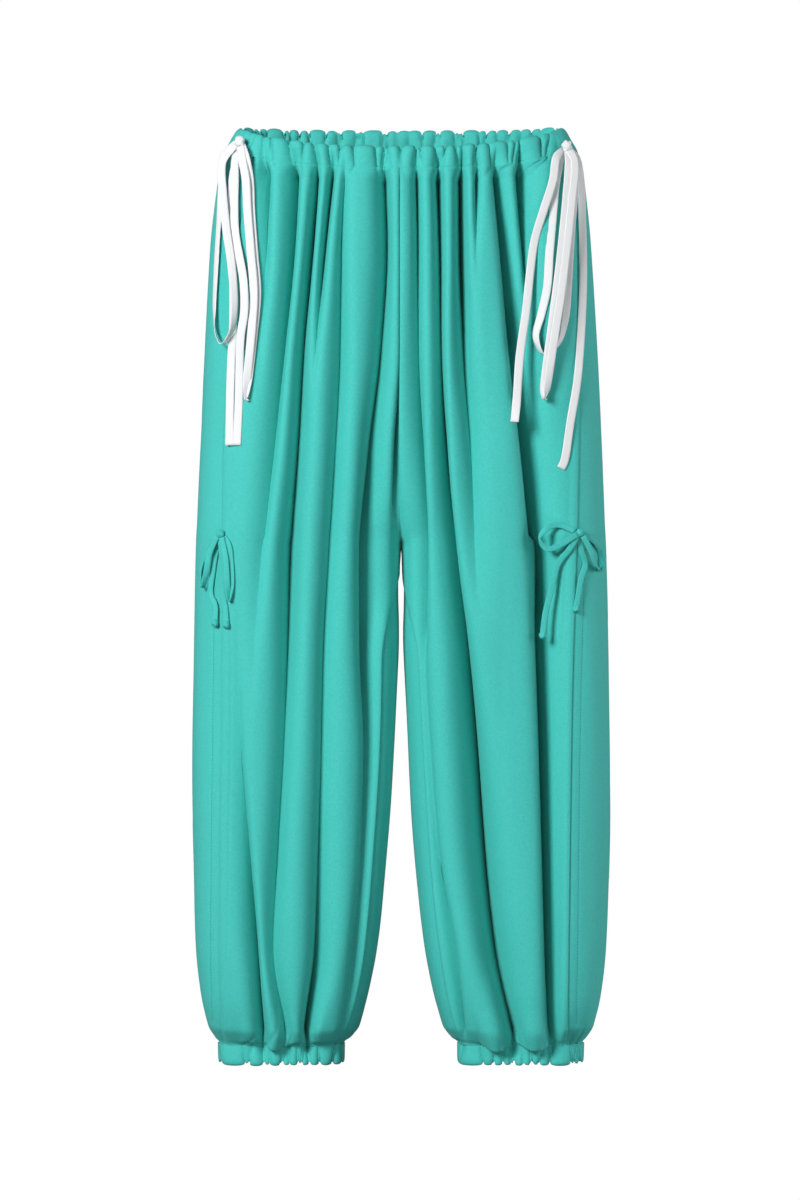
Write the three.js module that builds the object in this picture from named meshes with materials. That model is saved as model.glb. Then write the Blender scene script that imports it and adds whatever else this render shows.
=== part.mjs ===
// Jogger pants: a gathered waist casing, four leg panels, two gathered cuffs, a ribbon drawstring
// tied at each side seam, and a narrow tie at each thigh.
// Millimetres, +Z up. The wearer faces -Y, and +X is on the right of the photograph.
// The origin is the middle of the waist ring, level with the top edge of its front.
import * as THREE from "three";

// Driving sizes
const CLOTH = 2.2; // wall of a panel, measured straight through
const CASING_WALL = 4; // two layers of jersey with the ribbon between them
const CASING_TALL = 24;
const CUFF_TALL = 22;
const CUFF_TOP = 1018; // drop of the cuff seam below the front rim
const SEAM = 0.3; // gap between pieces that are sewn together
const CLOSEST_COLUMNS = 1.5; // two folds that run together at the inseam stay this far apart
const FORK = 441; // drop at which the two legs part
const RIM_RISE = 33; // the sides of the waist stand this much above its front
const BACK_RISE = 4; // and the back stands this much above the sides
const ROUNDNESS = 2.45; // superellipse power of a section, 2 being an ellipse

// The outline: one row for each level. drop is below the front rim, out is the outer silhouette,
// fork is how far the leg's middle has moved out as a share of its half width, deep is the half depth.
const LEVELS = [
  { drop: 0, out: 186, fork: 0, deep: 73 },
  { drop: 12, out: 192, fork: 0, deep: 75 },
  { drop: 24, out: 199, fork: 0, deep: 77 },
  { drop: 60, out: 206, fork: 0.05, deep: 80 },
  { drop: 116, out: 213, fork: 0.12, deep: 84 },
  { drop: 229, out: 220, fork: 0.36, deep: 88 },
  { drop: 342, out: 225, fork: 0.7, deep: 88 },
  { drop: 399, out: 227, fork: 0.86, deep: 86 },
  { drop: 425, out: 228, fork: 0.95, deep: 85 },
  { drop: 441, out: 229, fork: 1, deep: 84 },
  { drop: 568, out: 232, fork: 1.07, deep: 80 },
  { drop: 738, out: 234, fork: 1.147, deep: 78 },
  { drop: 851, out: 232, fork: 1.242, deep: 76 },
  { drop: 907, out: 230, fork: 1.317, deep: 73 },
  { drop: 964, out: 224, fork: 1.475, deep: 66 },
  { drop: 998, out: 216, fork: 1.655, deep: 55 },
  { drop: 1011, out: 211, fork: 1.8, deep: 45 },
  { drop: 1018, out: 208, fork: 1.93, deep: 38 },
  { drop: 1040, out: 207, fork: 1.95, deep: 36 },
];

// The rows of a panel, as drops below the front rim.
const PANEL_ROWS = [
  24.4, 45, 80, 125, 175, 229, 285, 342, 385, 415, 432, 441, 453, 475, 515, 570, 630, 690, 750, 810,
  865, 915, 955, 985, 1003, 1013, 1017.7,
];

// Where the seams run, as distances from the centre line of the photograph.
const SEAMS = {
  left: {
    side: [[0, 160], [60, 173], [116, 183], [229, 192], [342, 199], [625, 201], [907, 204], [1040, 200]],
    inseam: [[441, 0.3], [467, 12], [512, 22], [681, 27], [794, 34], [907, 44], [964, 54], [1018, 71]],
  },
  right: {
    side: [[0, 170], [60, 190], [116, 197], [229, 200], [399, 198], [625, 192], [851, 189], [1040, 187]],
    inseam: [[441, 0.3], [467, 12], [512, 17], [568, 22], [681, 28], [851, 40], [964, 56], [1018, 71]],
  },
};

// The folds of the two fronts, from the side seam to the middle. at is the distance from the centre
// line at each of FOLD_DROPS, out is how far the fold stands out (or in, below 0), half its half width.
const FOLD_DROPS = [27, 116, 229, 342, 455, 568, 681, 794, 907, 998];
const FRONT_FOLDS = {
  left: [
    { half: 0, at: [152, 166, 175, 183, 190, 192, 184, 175, 170, 161], out: [0, 0, 0, 0, 0, 0, -2, -5, -8, -8] },
    { half: 3, at: [138, 144, 154, 165, 178, 181, 172, 169, 163, 150], out: [4, 4, 3, 2, 1, 2, 4, 5, 5, 5] },
    { half: 0, at: [120, 128, 138, 150, 165, 172, 166, 163, 157, 144], out: [-5, -6, -5, -5, -3, -1, 3, 4, 5, 5] },
    { half: 3, at: [106, 116, 125, 135, 146, 157, 159, 156, 151, 138], out: [3, 3, 4, 4, 4, 4, 4, 4, 4, 3] },
    { half: 0, at: [97, 106, 112, 120, 127, 134, 141, 145, 142, 131], out: [-9, -9, -9, -9, -8, -7, -6, -5, -3, -3] },
    { half: 0, at: [88, 98, 105, 110, 117, 124, 129, 133, 131, 126], out: [3, 3, 1, 2, 2, 2, 2, 2, 1, 1] },
    { half: 0, at: [80, 89, 98, 104, 112, 118, 123, 126, 125, 121], out: [-8, -6, 1, 4, 4, 4, 3, 3, 3, 3] },
    { half: 3, at: [74, 80, 88, 96, 104, 110, 115, 118, 117, 115], out: [3, 4, 5, 5, 5, 5, 4, 4, 4, 5] },
    { half: 0, at: [67, 70, 73, 78, 85, 90, 93, 95, 94, 107], out: [-8, -8, -8, -8, -7, -6, -6, -6, -7, -11] },
    { half: 9, at: [48, 48, 51, 54, 59, 60, 60, 60, 65, 85], out: [4, 4, 4, 4, 4, 4, 4, 4, 5, 6] },
    { half: 0, at: [23, 23, 24, 29, 34, 37, 37, 41, 50, 70], out: [-5, -6, -7, -8, -7, -6, -4, -2, -1, 0] },
    { half: 0, at: [8, 7, 8, 12, 22, 30, 31, 37, 46.5, 66.5], out: [3, 3, 3, 1, 1, 0, 0, 0, 0, 0] },
  ],
  right: [
    { half: 3, at: [152, 160, 166, 170, 175, 176, 176, 175, 176, 177], out: [3, 4, 3, 2, 2, 3, 4, 4, 4, 3] },
    { half: 2, at: [132, 130, 134, 138, 150, 157, 160, 163, 169, 172], out: [-9, -6, -7, -7, -8, -9, -9, -9, -9, -10] },
    { half: 0, at: [118, 118, 121, 130, 140, 148, 153, 158, 164, 169], out: [2, -3, -4, -3, -3, -3, -3, -4, -5, -7] },
    { half: 0, at: [104, 110, 117, 127, 136, 145, 150, 155, 161, 166], out: [-8, -4, 2, 4, 5, 6, 7, 7, 7, 6] },
    { half: 6, at: [91, 98, 105, 114, 121, 128, 132, 138, 146, 152], out: [4, 5, 6, 6, 7, 7, 7, 7, 7, 6] },
    { half: 0, at: [67, 64, 69, 76, 92, 102, 105, 111, 130, 139], out: [-8, -9, -8, -6, -1, 4, 4, 5, 6, 5] },
    { half: 4, at: [53, 54, 54, 59, 71, 83, 88, 98, 114, 128], out: [3, 3, 3, 4, 3, 2, 1, 0, -1, -1] },
    { half: 0, at: [41, 43, 44, 48, 54, 62, 72, 77, 92, 118], out: [-9, -9, -8, -7, -8, -9, -10, -11, -11, -12] },
    { half: 4, at: [28, 31, 34, 36, 40, 45, 48, 53, 69, 102], out: [4, 4, 5, 5, 5, 5, 6, 6, 6, 6] },
    { half: 0, at: [16, 16, 18, 20, 28, 33, 37, 42, 56, 78], out: [-5, -6, -7, -7, -4, -2, 0, 0, 0, 0] },
    { half: 0, at: [7, 7, 8, 11, 22, 27, 31, 38, 48, 68], out: [2, 2, 1, 0, 0, 0, 0, 0, 0, 0] },
  ],
};

// The folds of a back, from the side seam to the middle, as distances from the centre line and as
// relief, both at each of BACK_DROPS. The photograph hides them, so they are like those of the front.
const BACK_DROPS = [24, 441, 794, 1000];
const BACK_FOLDS = [
  { at: [172, 195, 205, 185], out: [0, 0, 0, 0] },
  { at: [150, 172, 184, 168], out: [3, 4, 4, 5] },
  { at: [133, 156, 170, 157], out: [-7, -6, -6, -7] },
  { at: [118, 142, 158, 147], out: [4, 5, 5, 5] },
  { at: [102, 126, 143, 137], out: [4, 5, 5, 4] },
  { at: [89, 112, 129, 126], out: [-8, -7, -7, -8] },
  { at: [76, 98, 116, 116], out: [4, 4, 4, 5] },
  { at: [62, 82, 100, 107], out: [5, 5, 5, 5] },
  { at: [49, 68, 87, 97], out: [-9, -7, -6, -9] },
  { at: [36, 52, 72, 88], out: [5, 4, 4, 5] },
  { at: [24, 36, 56, 80], out: [-6, -4, -2, -3] },
  { at: [12, 22, 42, 73], out: [3, 1, 0, 0] },
];
const TURN_SHARES = [0.33, 0.67]; // columns on the round of a side, between a seam and the nearest fold

const BAND_GATHERS = 25; // across the front, and as many behind
const CUFF_GATHERS = 26; // round one cuff
const COLUMNS_PER_GATHER = 3;
const GATHER_DEEP = 1.7;

// Ribbon and ties. A route is a list of rows chosen by hand: the distance from the centre line, the drop
// below the front rim, how far it lies off the cloth, and its turn in degrees, 90 where it is edge on.
// leaves and returns say where an end meets the knot: degrees outward from straight down, and its layer,
// which is how far it lies before or behind the knot's middle.
const RIBBON = { wide: 9.5, thick: 1.1, stepLong: 24 };
const TIE = { wide: 6.5, thick: 1.1, stepLong: 15 };
const END_GAP = 0.45;
const BOWS = {
  left: {
    knot: { from: 174, drop: -9, off: 10.2, radius: 6.5, deep: 5.5 },
    loop_open: {
      leaves: [75, -2.4],
      rows: [
        [192, 6, 7.5, 0], [196, 35, 5.5, 0], [200, 80, 5, 30], [203, 130, 5, 30], [205, 180, 5, 40],
        [202, 208, 8, 70], [193, 222, 10.5, 90], [184, 208, 10.5, 70], [181, 180, 10.5, 40],
        [183, 130, 13, 20], [188, 90, 12.5, 20], [191, 50, 12, 20], [189, 14, 14.5, 0],
      ],
      returns: [45, 4],
    },
    loop_narrow: {
      leaves: [-38, 0.9],
      rows: [
        [169, 10, 10.2, 0], [168, 35, 5, 0], [167, 70, 4, 0], [164, 117, 4, 0], [161, 165, 4, 0],
        [165, 220, 4, 0], [169, 262, 4, 20], [171, 286, 5, 90], [169.5, 262, 7, 20], [166, 220, 7, 0],
        [163, 165, 7, 0], [166, 117, 7, 0], [169, 70, 7.5, 0], [170, 35, 9, 0], [172, 10, 12, 0],
      ],
      returns: [-30, 2.5],
    },
    tail_long: {
      leaves: [10, -0.6],
      rows: [
        [181, 12, 7.6, 0], [182, 35, 7, 0], [183, 65, 6.5, 0], [182, 95, 7, 0], [172, 150, 10.5, 0],
        [171, 185, 10.5, 0], [176, 215, 8, 0], [179, 250, 4, 0], [180, 290, 4, 0], [182, 337, 4, 0],
      ],
    },
    tail_under: {
      leaves: [0, -4],
      rows: [
        [182, 14, 4.5, 0], [187, 40, 3.5, 0], [187, 90, 3.5, 0], [186, 150, 3.5, 0], [186, 200, 3.5, 0],
        [187, 240, 5.5, 0], [188, 280, 6, 0], [189, 337, 6, 0],
      ],
    },
  },
  right: {
    knot: { from: 179, drop: -4, off: 9.6, radius: 6.5, deep: 5.5 },
    loop_open: {
      leaves: [-15, -4],
      rows: [
        [175, 12, 6.5, 0], [171, 40, 5, 0], [168, 80, 4, 15], [165, 120, 4, 20], [163, 160, 4, 20],
        [158, 190, 4, 30], [152, 214, 5, 50], [160, 234, 8, 90], [173, 224, 8, 60], [180, 195, 8, 20],
        [183, 150, 8, 0], [186, 90, 8, 0], [188, 45, 9.5, 0], [185, 14, 11, 0],
      ],
      returns: [15, 0.8],
    },
    loop_narrow: {
      leaves: [0, 2.4],
      rows: [
        [180, 14, 13, 0], [178, 60, 13, 0], [174, 120, 11, 0], [169, 170, 11, 0], [165, 210, 12.5, 0],
        [162, 245, 12, 0], [160, 275, 9, 30], [160, 285, 10.5, 90], [162, 272, 13.5, 30], [165, 240, 15, 0],
        [168, 205, 16.5, 0], [173, 165, 14.5, 0], [178, 120, 14, 0], [182, 60, 16, 0], [184, 14, 15.5, 0],
      ],
      returns: [5, 4],
    },
    tail_front: {
      leaves: [-35, -0.8],
      rows: [
        [169, 10, 10.5, 0], [166, 37, 9.5, 0], [158, 70, 7.5, 0], [151, 105, 5, 0], [146, 140, 5, 0],
        [141, 184, 6, 0], [133, 240, 8, 0], [130, 285, 9, 0], [127, 311, 10, 20],
      ],
    },
    tail_side: {
      leaves: [40, -2.4],
      rows: [
        [190, 8, 7.5, 0], [197, 32, 5, 0], [200, 82, 4, 0], [201, 150, 4, 0], [199, 206, 4, 0],
        [195, 263, 4, 0], [189, 309, 4, 0], [184, 354, 4, 0], [181, 363, 4, 0],
      ],
    },
  },
};
const THIGH_TIES = {
  left: {
    knot: { from: 199, drop: 437, off: 5, radius: 5, deep: 4.6 },
    loop_outer: {
      leaves: [65, -2.2],
      rows: [[213, 455, 4.5, 0], [220, 478, 5.5, 30], [216, 497, 8, 90], [211, 480, 9.5, 30], [208, 460, 9.5, 0]],
      returns: [40, 3.6],
    },
    loop_inner: {
      leaves: [-50, -0.8],
      rows: [
        [191, 449, 4.5, 0], [189, 465, 4, 0], [188, 495, 4, 20], [190, 513, 5.5, 90], [191, 495, 7.5, 20],
        [192.5, 465, 8, 0],
      ],
      returns: [-35, 2.2],
    },
    tail_outer: {
      leaves: [25, -3.6],
      rows: [[205, 455, 2.2, 0], [209, 480, 2.5, 0], [211, 505, 3, 0], [206, 518, 3.5, 0], [206, 538, 4, 0]],
    },
    tail_inner: {
      leaves: [-5, 0.7],
      rows: [[198, 458, 5, 0], [198, 480, 4, 0], [197.5, 505, 4, 0], [195, 521, 4, 0], [194, 540, 4, 0]],
    },
  },
  right: {
    knot: { from: 198, drop: 436, off: 5, radius: 5, deep: 4.6 },
    loop_inner: {
      leaves: [-110, -0.8],
      rows: [[178, 427, 3.5, 0], [165, 431, 4, 0], [156, 443, 5, 90], [165, 454, 6.5, 0], [178, 450, 8, 0]],
      returns: [-75, 2.2],
    },
    loop_outer: {
      leaves: [75, -2.2],
      rows: [[214, 446, 3.5, 0], [221, 462, 4.5, 30], [219, 478, 5.5, 90], [212, 470, 7.5, 30], [207, 457, 8.5, 0]],
      returns: [35, 3.6],
    },
    tail_inner: {
      leaves: [-40, 0.7],
      rows: [[188, 455, 5.5, 0], [178, 470, 4.5, 0], [170, 500, 4, 0], [163, 528, 4, 0], [160, 552, 4, 0]],
    },
    tail_outer: {
      leaves: [12, -3.6],
      rows: [[201, 455, 2.2, 0], [205, 470, 2.6, 0], [200, 487, 4, 0], [197, 508, 4, 0], [195, 522, 4, 0]],
    },
  },
};

// Materials
const JERSEY = new THREE.MeshStandardMaterial({ color: 0x24b8ab, roughness: 0.78, metalness: 0 });
const COTTON = new THREE.MeshStandardMaterial({ color: 0xf0f1f3, roughness: 0.85, metalness: 0 });

// Reads a table of rising keys, as a smooth curve through its rows.
function along(keys, values, key) {
  const last = keys.length - 1;
  const k = Math.min(Math.max(key, keys[0]), keys[last]);
  let i = 0;
  while (i < last - 1 && k > keys[i + 1]) i++;
  const slope = (j) => (values[j + 1] - values[j]) / (keys[j + 1] - keys[j]);
  const bend = (j) => {
    if (j === 0) return slope(0);
    if (j === last) return slope(last - 1);
    const [a, b] = [slope(j - 1), slope(j)];
    return a * b <= 0 ? 0 : (2 * a * b) / (a + b);
  };
  const wide = keys[i + 1] - keys[i];
  const t = (k - keys[i]) / wide;
  const rise = values[i + 1] - values[i];
  const [m0, m1] = [bend(i) * wide, bend(i + 1) * wide];
  return values[i] + t * (m0 + t * (3 * rise - 2 * m0 - m1 + t * (m0 + m1 - 2 * rise)));
}

const alongPairs = (pairs, key) => along(pairs.map((p) => p[0]), pairs.map((p) => p[1]), key);
const DROPS = LEVELS.map((row) => row.drop);
const level = (name, drop) => along(DROPS, LEVELS.map((row) => row[name]), drop);
const power = (value, exponent) => Math.sign(value) * Math.abs(value) ** exponent;
const mix = (a, b, t) => a + (b - a) * t;

// A leg's section at one level: the middle, half width and half depth of its superellipse.
function section(drop) {
  const fork = level("fork", drop);
  const half = level("out", drop) / (1 + fork);
  return { middle: fork * half, half, deep: level("deep", drop) };
}

// Angles run from the outer side, 0, through the back, 90, to the inner side, 180. The front is below 0.
function angleAt(from, drop, front) {
  const { middle, half } = section(drop);
  const share = Math.min(Math.max((from - middle) / half, -1), 1);
  const angle = Math.acos(power(share, ROUNDNESS / 2));
  return front ? -angle : angle;
}

// A point of the smooth body with its outward normal; the x of both is the distance from the centre line.
function body(angle, drop) {
  const { middle, half, deep } = section(drop);
  const [c, s] = [Math.cos(angle), Math.sin(angle)];
  const deepShare = power(s, 2 / ROUNDNESS);
  const x = middle + half * power(c, 2 / ROUNDNESS);
  const y = deep * deepShare;
  const normal = new THREE.Vector3(
    power(c, 2 - 2 / ROUNDNESS) / half,
    power(s, 2 - 2 / ROUNDNESS) / deep,
    0,
  ).normalize();
  const lift = RIM_RISE + (deepShare < 0 ? -RIM_RISE * Math.abs(deepShare) ** 1.5 : BACK_RISE * deepShare);
  const fade = 1 - Math.min(Math.max(drop - CASING_TALL, 0) / 230, 1);
  return { point: new THREE.Vector3(x, y, lift * fade ** 1.5 - drop), normal };
}

// A panel as columns: at one drop, the angle and the relief of each column from the side seam inward.
function frontColumns(side, drop) {
  const seam = alongPairs(SEAMS[side].side, drop) - SEAM / 2;
  const inner = drop < FORK ? SEAM / 2 : alongPairs(SEAMS[side].inseam, drop) + SEAM / 2;
  const settle = Math.min((CUFF_TOP - drop) / 25, 1);
  const columns = [{ from: seam, out: 0 }];
  for (const fold of FRONT_FOLDS[side]) {
    const at = along(FOLD_DROPS, fold.at, drop);
    const out = along(FOLD_DROPS, fold.out, drop) * Math.max(settle, 0.2);
    if (fold.half > 0) {
      columns.push({ from: at + fold.half, out }, { from: at - fold.half, out });
    } else {
      columns.push({ from: at, out });
    }
  }
  columns.push({ from: inner, out: 0 });
  for (let i = columns.length - 2; i > 0; i--) {
    columns[i].from = Math.max(columns[i].from, columns[i + 1].from + CLOSEST_COLUMNS);
  }
  return columns.map((c) => ({ angle: angleAt(c.from, drop, true), out: c.out, from: c.from }));
}

function backColumns(side, drop) {
  const seam = alongPairs(SEAMS[side].side, drop) + SEAM / 2;
  const start = angleAt(seam, drop, true);
  const end =
    drop < FORK
      ? angleAt(SEAM / 2, drop, false)
      : 2 * Math.PI + angleAt(alongPairs(SEAMS[side].inseam, drop) - SEAM / 2, drop, true);
  const settle = Math.min((CUFF_TOP - drop) / 25, 1);
  const folds = BACK_FOLDS.map((fold) => ({
    angle: angleAt(along(BACK_DROPS, fold.at, drop), drop, false),
    out: along(BACK_DROPS, fold.out, drop) * Math.max(settle, 0.2),
  }));
  const turn = (from, to) => TURN_SHARES.map((share) => ({ angle: mix(from, to, share), out: 0 }));
  const [first, last] = [folds[0].angle, folds[folds.length - 1].angle];
  return [{ angle: start, out: 0 }, ...turn(start, first), ...folds, ...turn(last, end), { angle: end, out: 0 }];
}

// Turns rings of points, each closed round its own corner points, into one closed mesh.
function sweep(rings, closed, mirrored) {
  const count = rings[0].length;
  const index = [];
  const face = (a, b, c) => index.push(...(mirrored ? [a, c, b] : [a, b, c]));
  const last = closed ? rings.length : rings.length - 1;
  for (let i = 0; i < last; i++) {
    const next = (i + 1) % rings.length;
    for (let j = 0; j < count; j++) {
      const k = (j + 1) % count;
      face(i * count + j, next * count + j, next * count + k);
      face(i * count + j, next * count + k, i * count + k);
    }
  }
  if (!closed) {
    const tail = (rings.length - 1) * count;
    const half = count / 2;
    for (let j = 0; j < half - 1; j++) {
      const [a, b, c, d] = [j, j + 1, count - 2 - j, count - 1 - j];
      face(a, b, c);
      face(a, c, d);
      face(tail + a, tail + c, tail + b);
      face(tail + a, tail + d, tail + c);
    }
  }
  const geometry = new THREE.BufferGeometry();
  geometry.setAttribute("position", new THREE.Float32BufferAttribute(rings.flat().flatMap((p) => p.toArray()), 3));
  geometry.setIndex(index);
  geometry.computeVertexNormals();
  return geometry;
}

// A wall's ring at one column: down its outer face and up its inner face.
function wallRing(places, thick, sign) {
  const outer = places.map(({ point, normal, out }) => point.clone().addScaledVector(normal, out));
  const inner = places.map(({ point, normal, out }) => point.clone().addScaledVector(normal, out - thick));
  const ring = [...outer, ...inner.reverse()];
  return ring.map((p) => new THREE.Vector3(p.x * sign, p.y, p.z));
}

function panel(side, columnsAt) {
  const sign = side === "left" ? -1 : 1;
  const rows = PANEL_ROWS.map((drop) => columnsAt(side, drop).map((c) => ({ ...body(c.angle, drop), out: c.out })));
  const rings = rows[0].map((_, column) => wallRing(rows.map((row) => row[column]), CLOTH, sign));
  return { rings, sign };
}

// The profile of a casing: how far each level of its outer and inner face stands out.
const CASING = [
  { down: 0, out: 1 },
  { down: 0.18, out: 3.2 },
  { down: 0.55, out: 3.6 },
  { down: 1, out: 1.6 },
];

const WAIST_CASING = { top: 0, tall: CASING_TALL, freeEdge: 0 };
const CUFF_CASING = { top: CUFF_TOP + SEAM, tall: CUFF_TALL, freeEdge: 1 };

// An uneven wave of gathers: phase wanders so that no two gathers are alike.
function gather(turn, gathers) {
  const phase = 2 * Math.PI * (gathers * turn + 0.35 * Math.sin(2 * Math.PI * 3 * turn) + 0.2 * Math.sin(2 * Math.PI * 7 * turn));
  return Math.sin(phase);
}

function casingRing(angle, wave, sign, { top, tall, freeEdge }) {
  const deepen = 0.7 + 0.3 * Math.sin(5 * angle);
  const places = CASING.map(({ down, out }) => {
    const at = body(angle, top + tall * down);
    at.out = out + wave * deepen * GATHER_DEEP;
    at.point.z += down === freeEdge ? wave * 0.8 : 0;
    return at;
  });
  return wallRing(places, CASING_WALL, sign);
}

// One half of the waist casing, from the left side seam to the right one.
function waistHalf(front) {
  const gap = SEAM / 2;
  const rings = [];
  const steps = BAND_GATHERS * COLUMNS_PER_GATHER;
  for (let i = 0; i <= steps; i++) {
    const t = i / steps;
    const side = t < 0.5 ? "left" : "right";
    const away = Math.abs(1 - 2 * t);
    const reach = alongPairs(SEAMS[side].side, CASING_TALL / 2);
    const limit = front ? angleAt(reach - gap, 0, true) : angleAt(reach + gap, 0, true);
    const middle = front ? -Math.PI / 2 : Math.PI / 2;
    const sign = side === "left" ? -1 : 1;
    const wave = gather(front ? t : t + 0.31, BAND_GATHERS) * Math.min(1, 8 * (0.5 - Math.abs(t - 0.5)));
    rings.push(casingRing(mix(middle, limit, away), wave, sign, WAIST_CASING));
  }
  return sweep(front ? rings : rings.reverse(), false, true);
}

function cuff(side) {
  const sign = side === "left" ? -1 : 1;
  const steps = CUFF_GATHERS * COLUMNS_PER_GATHER;
  const rings = [];
  for (let i = 0; i < steps; i++) {
    const t = i / steps;
    const wave = gather(t, CUFF_GATHERS);
    rings.push(casingRing(2 * Math.PI * t, wave, sign, CUFF_CASING));
  }
  return sweep(rings, true, side === "right");
}

// The cloth's surface at a distance from the centre line and a height, moved out by off.
function onCloth(side, from, drop, off) {
  let d = drop;
  let place;
  for (let i = 0; i < 6; i++) {
    const reach = Math.min(from, level("out", d) * 0.985);
    place = body(angleAt(reach, d, true), d);
    d = Math.max(d + place.point.z + drop, 0);
  }
  const sign = side === "left" ? -1 : 1;
  const extra = Math.max(from - level("out", d) * 0.985, 0);
  const point = place.point.clone().addScaledVector(place.normal, off + reliefAt(side, from, d));
  point.z = -drop;
  return {
    point: new THREE.Vector3((point.x + extra) * sign, point.y, point.z),
    normal: new THREE.Vector3(place.normal.x * sign, place.normal.y, 0),
  };
}

function reliefAt(side, from, drop) {
  const columns = frontColumns(side, Math.max(drop, PANEL_ROWS[0])).reverse();
  if (from >= columns[columns.length - 1].from) return 0;
  let i = 0;
  while (i < columns.length - 2 && from > columns[i + 1].from) i++;
  const [a, b] = [columns[i], columns[i + 1]];
  return mix(a.out, b.out, (from - a.from) / (b.from - a.from));
}

// A flat ribbon's route, which keeps its flat side to the cloth but for the turn of each row.
class RibbonRoute extends THREE.CatmullRomCurve3 {
  constructor(places, turns) {
    super(places.map((p) => p.point), false, "centripetal");
    this.facing = places.map((p) => p.normal);
    this.turns = turns;
  }

  computeFrenetFrames(segments) {
    const frames = { tangents: [], normals: [], binormals: [] };
    const spans = this.points.length - 1;
    for (let i = 0; i <= segments; i++) {
      const share = i / segments;
      const t = this.getUtoTmapping(share) * spans;
      const k = Math.min(Math.floor(t), spans - 1);
      const tangent = this.getTangentAt(share);
      const facing = this.facing[k].clone().lerp(this.facing[k + 1], t - k);
      const turn = THREE.MathUtils.degToRad(mix(this.turns[k], this.turns[k + 1], t - k));
      const wide = new THREE.Vector3().crossVectors(tangent, facing).normalize();
      const flat = wide.applyAxisAngle(tangent, turn);
      frames.tangents.push(tangent);
      frames.normals.push(flat);
      frames.binormals.push(new THREE.Vector3().crossVectors(tangent, flat));
    }
    return frames;
  }
}

// Where a ribbon's end meets its knot, just clear of the knot's surface.
function knotEnd(side, middle, [outward, layer], thick) {
  const { point, normal } = onCloth(side, middle.from, middle.drop, middle.off);
  const away = THREE.MathUtils.degToRad(outward);
  const across = new THREE.Vector3(-normal.y, normal.x, 0).multiplyScalar(side === "left" ? -1 : 1);
  const direction = across.multiplyScalar(Math.sin(away)).add(new THREE.Vector3(0, 0, -Math.cos(away)));
  const near = Math.max(Math.abs(layer) - thick / 2, 0) / middle.deep;
  const reach = middle.radius * Math.sqrt(1 - near ** 2) + END_GAP;
  return { point: point.addScaledVector(normal, layer).addScaledVector(direction, reach), normal };
}

function ribbon(side, middle, { leaves, rows, returns }, { wide, thick, stepLong }) {
  const places = rows.map(([from, drop, off]) => onCloth(side, from, drop, off));
  places.unshift(knotEnd(side, middle, leaves, thick));
  const turns = [0, ...rows.map((row) => row[3])];
  if (returns) {
    places.push(knotEnd(side, middle, returns, thick));
    turns.push(0);
  }
  const path = new RibbonRoute(places, turns);
  const outline = new THREE.Shape();
  const [w, t] = [wide / 2, thick / 2];
  outline.moveTo(w, -t / 2).lineTo(w, t / 2).lineTo(w * 0.9, t).lineTo(-w * 0.9, t);
  outline.lineTo(-w, t / 2).lineTo(-w, -t / 2).lineTo(-w * 0.9, -t).lineTo(w * 0.9, -t);
  const steps = Math.max(Math.ceil(path.getLength() / stepLong), places.length);
  return new THREE.ExtrudeGeometry(outline, { steps, extrudePath: path, curveSegments: 1 });
}

function knot(side, { from, drop, off, radius, deep }) {
  const { point, normal } = onCloth(side, from, drop, off);
  const geometry = new THREE.SphereGeometry(1, 12, 7);
  geometry.scale(radius, deep, radius);
  geometry.rotateZ(Math.atan2(normal.y, normal.x) - Math.PI / 2);
  geometry.translate(...point.toArray());
  return geometry;
}

// The pieces, each a named mesh
const pants = new THREE.Group();

function addPiece(name, geometry, material) {
  const mesh = new THREE.Mesh(geometry, material);
  mesh.name = name;
  pants.add(mesh);
}

for (const side of ["left", "right"]) {
  const front = panel(side, frontColumns);
  addPiece(`front_${side}_leg`, sweep(front.rings, false, side === "left"), JERSEY);
  const back = panel(side, backColumns);
  addPiece(`back_${side}_leg`, sweep(back.rings, false, side === "right"), JERSEY);
  addPiece(`cuff_${side}`, cuff(side), JERSEY);
}
addPiece("waistband_front", waistHalf(true), JERSEY);
addPiece("waistband_back", waistHalf(false), JERSEY);

function addBow(prefix, side, { knot: middle, ...routes }, size, material) {
  addPiece(`${prefix}_${side}_knot`, knot(side, middle), material);
  for (const [name, route] of Object.entries(routes)) {
    addPiece(`${prefix}_${side}_${name}`, ribbon(side, middle, route, size), material);
  }
}

for (const side of ["left", "right"]) {
  addBow("ribbon", side, BOWS[side], RIBBON, COTTON);
  addBow("thigh_tie", side, THIGH_TIES[side], TIE, JERSEY);
}

export default pants;
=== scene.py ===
# %% [markdown]
# # Jogger pants in heavy turquoise jersey
#
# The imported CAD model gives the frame: every solid sits where the real piece sits. This script makes
# the cloth that is seen: four leg panels, a gathered waist casing, two gathered cuffs, a ribbon
# drawstring tied in a bow at each side seam, and a narrow tie of the same jersey at each thigh.

# %% Frame
import bisect
import math

import bmesh
import bpy
from mathutils import Matrix, Vector, noise


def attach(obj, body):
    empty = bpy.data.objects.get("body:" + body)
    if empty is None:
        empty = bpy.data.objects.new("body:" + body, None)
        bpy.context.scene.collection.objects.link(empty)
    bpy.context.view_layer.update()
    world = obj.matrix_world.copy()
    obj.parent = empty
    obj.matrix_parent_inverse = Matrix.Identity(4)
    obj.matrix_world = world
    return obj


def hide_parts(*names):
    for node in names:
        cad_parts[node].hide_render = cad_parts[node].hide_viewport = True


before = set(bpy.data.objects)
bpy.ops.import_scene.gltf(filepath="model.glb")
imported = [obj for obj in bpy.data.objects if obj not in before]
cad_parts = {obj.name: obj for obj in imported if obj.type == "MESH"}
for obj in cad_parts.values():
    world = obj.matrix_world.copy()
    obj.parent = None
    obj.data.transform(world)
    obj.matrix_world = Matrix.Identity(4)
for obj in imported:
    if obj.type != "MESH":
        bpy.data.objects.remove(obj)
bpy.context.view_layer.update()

MM = 0.001

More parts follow.
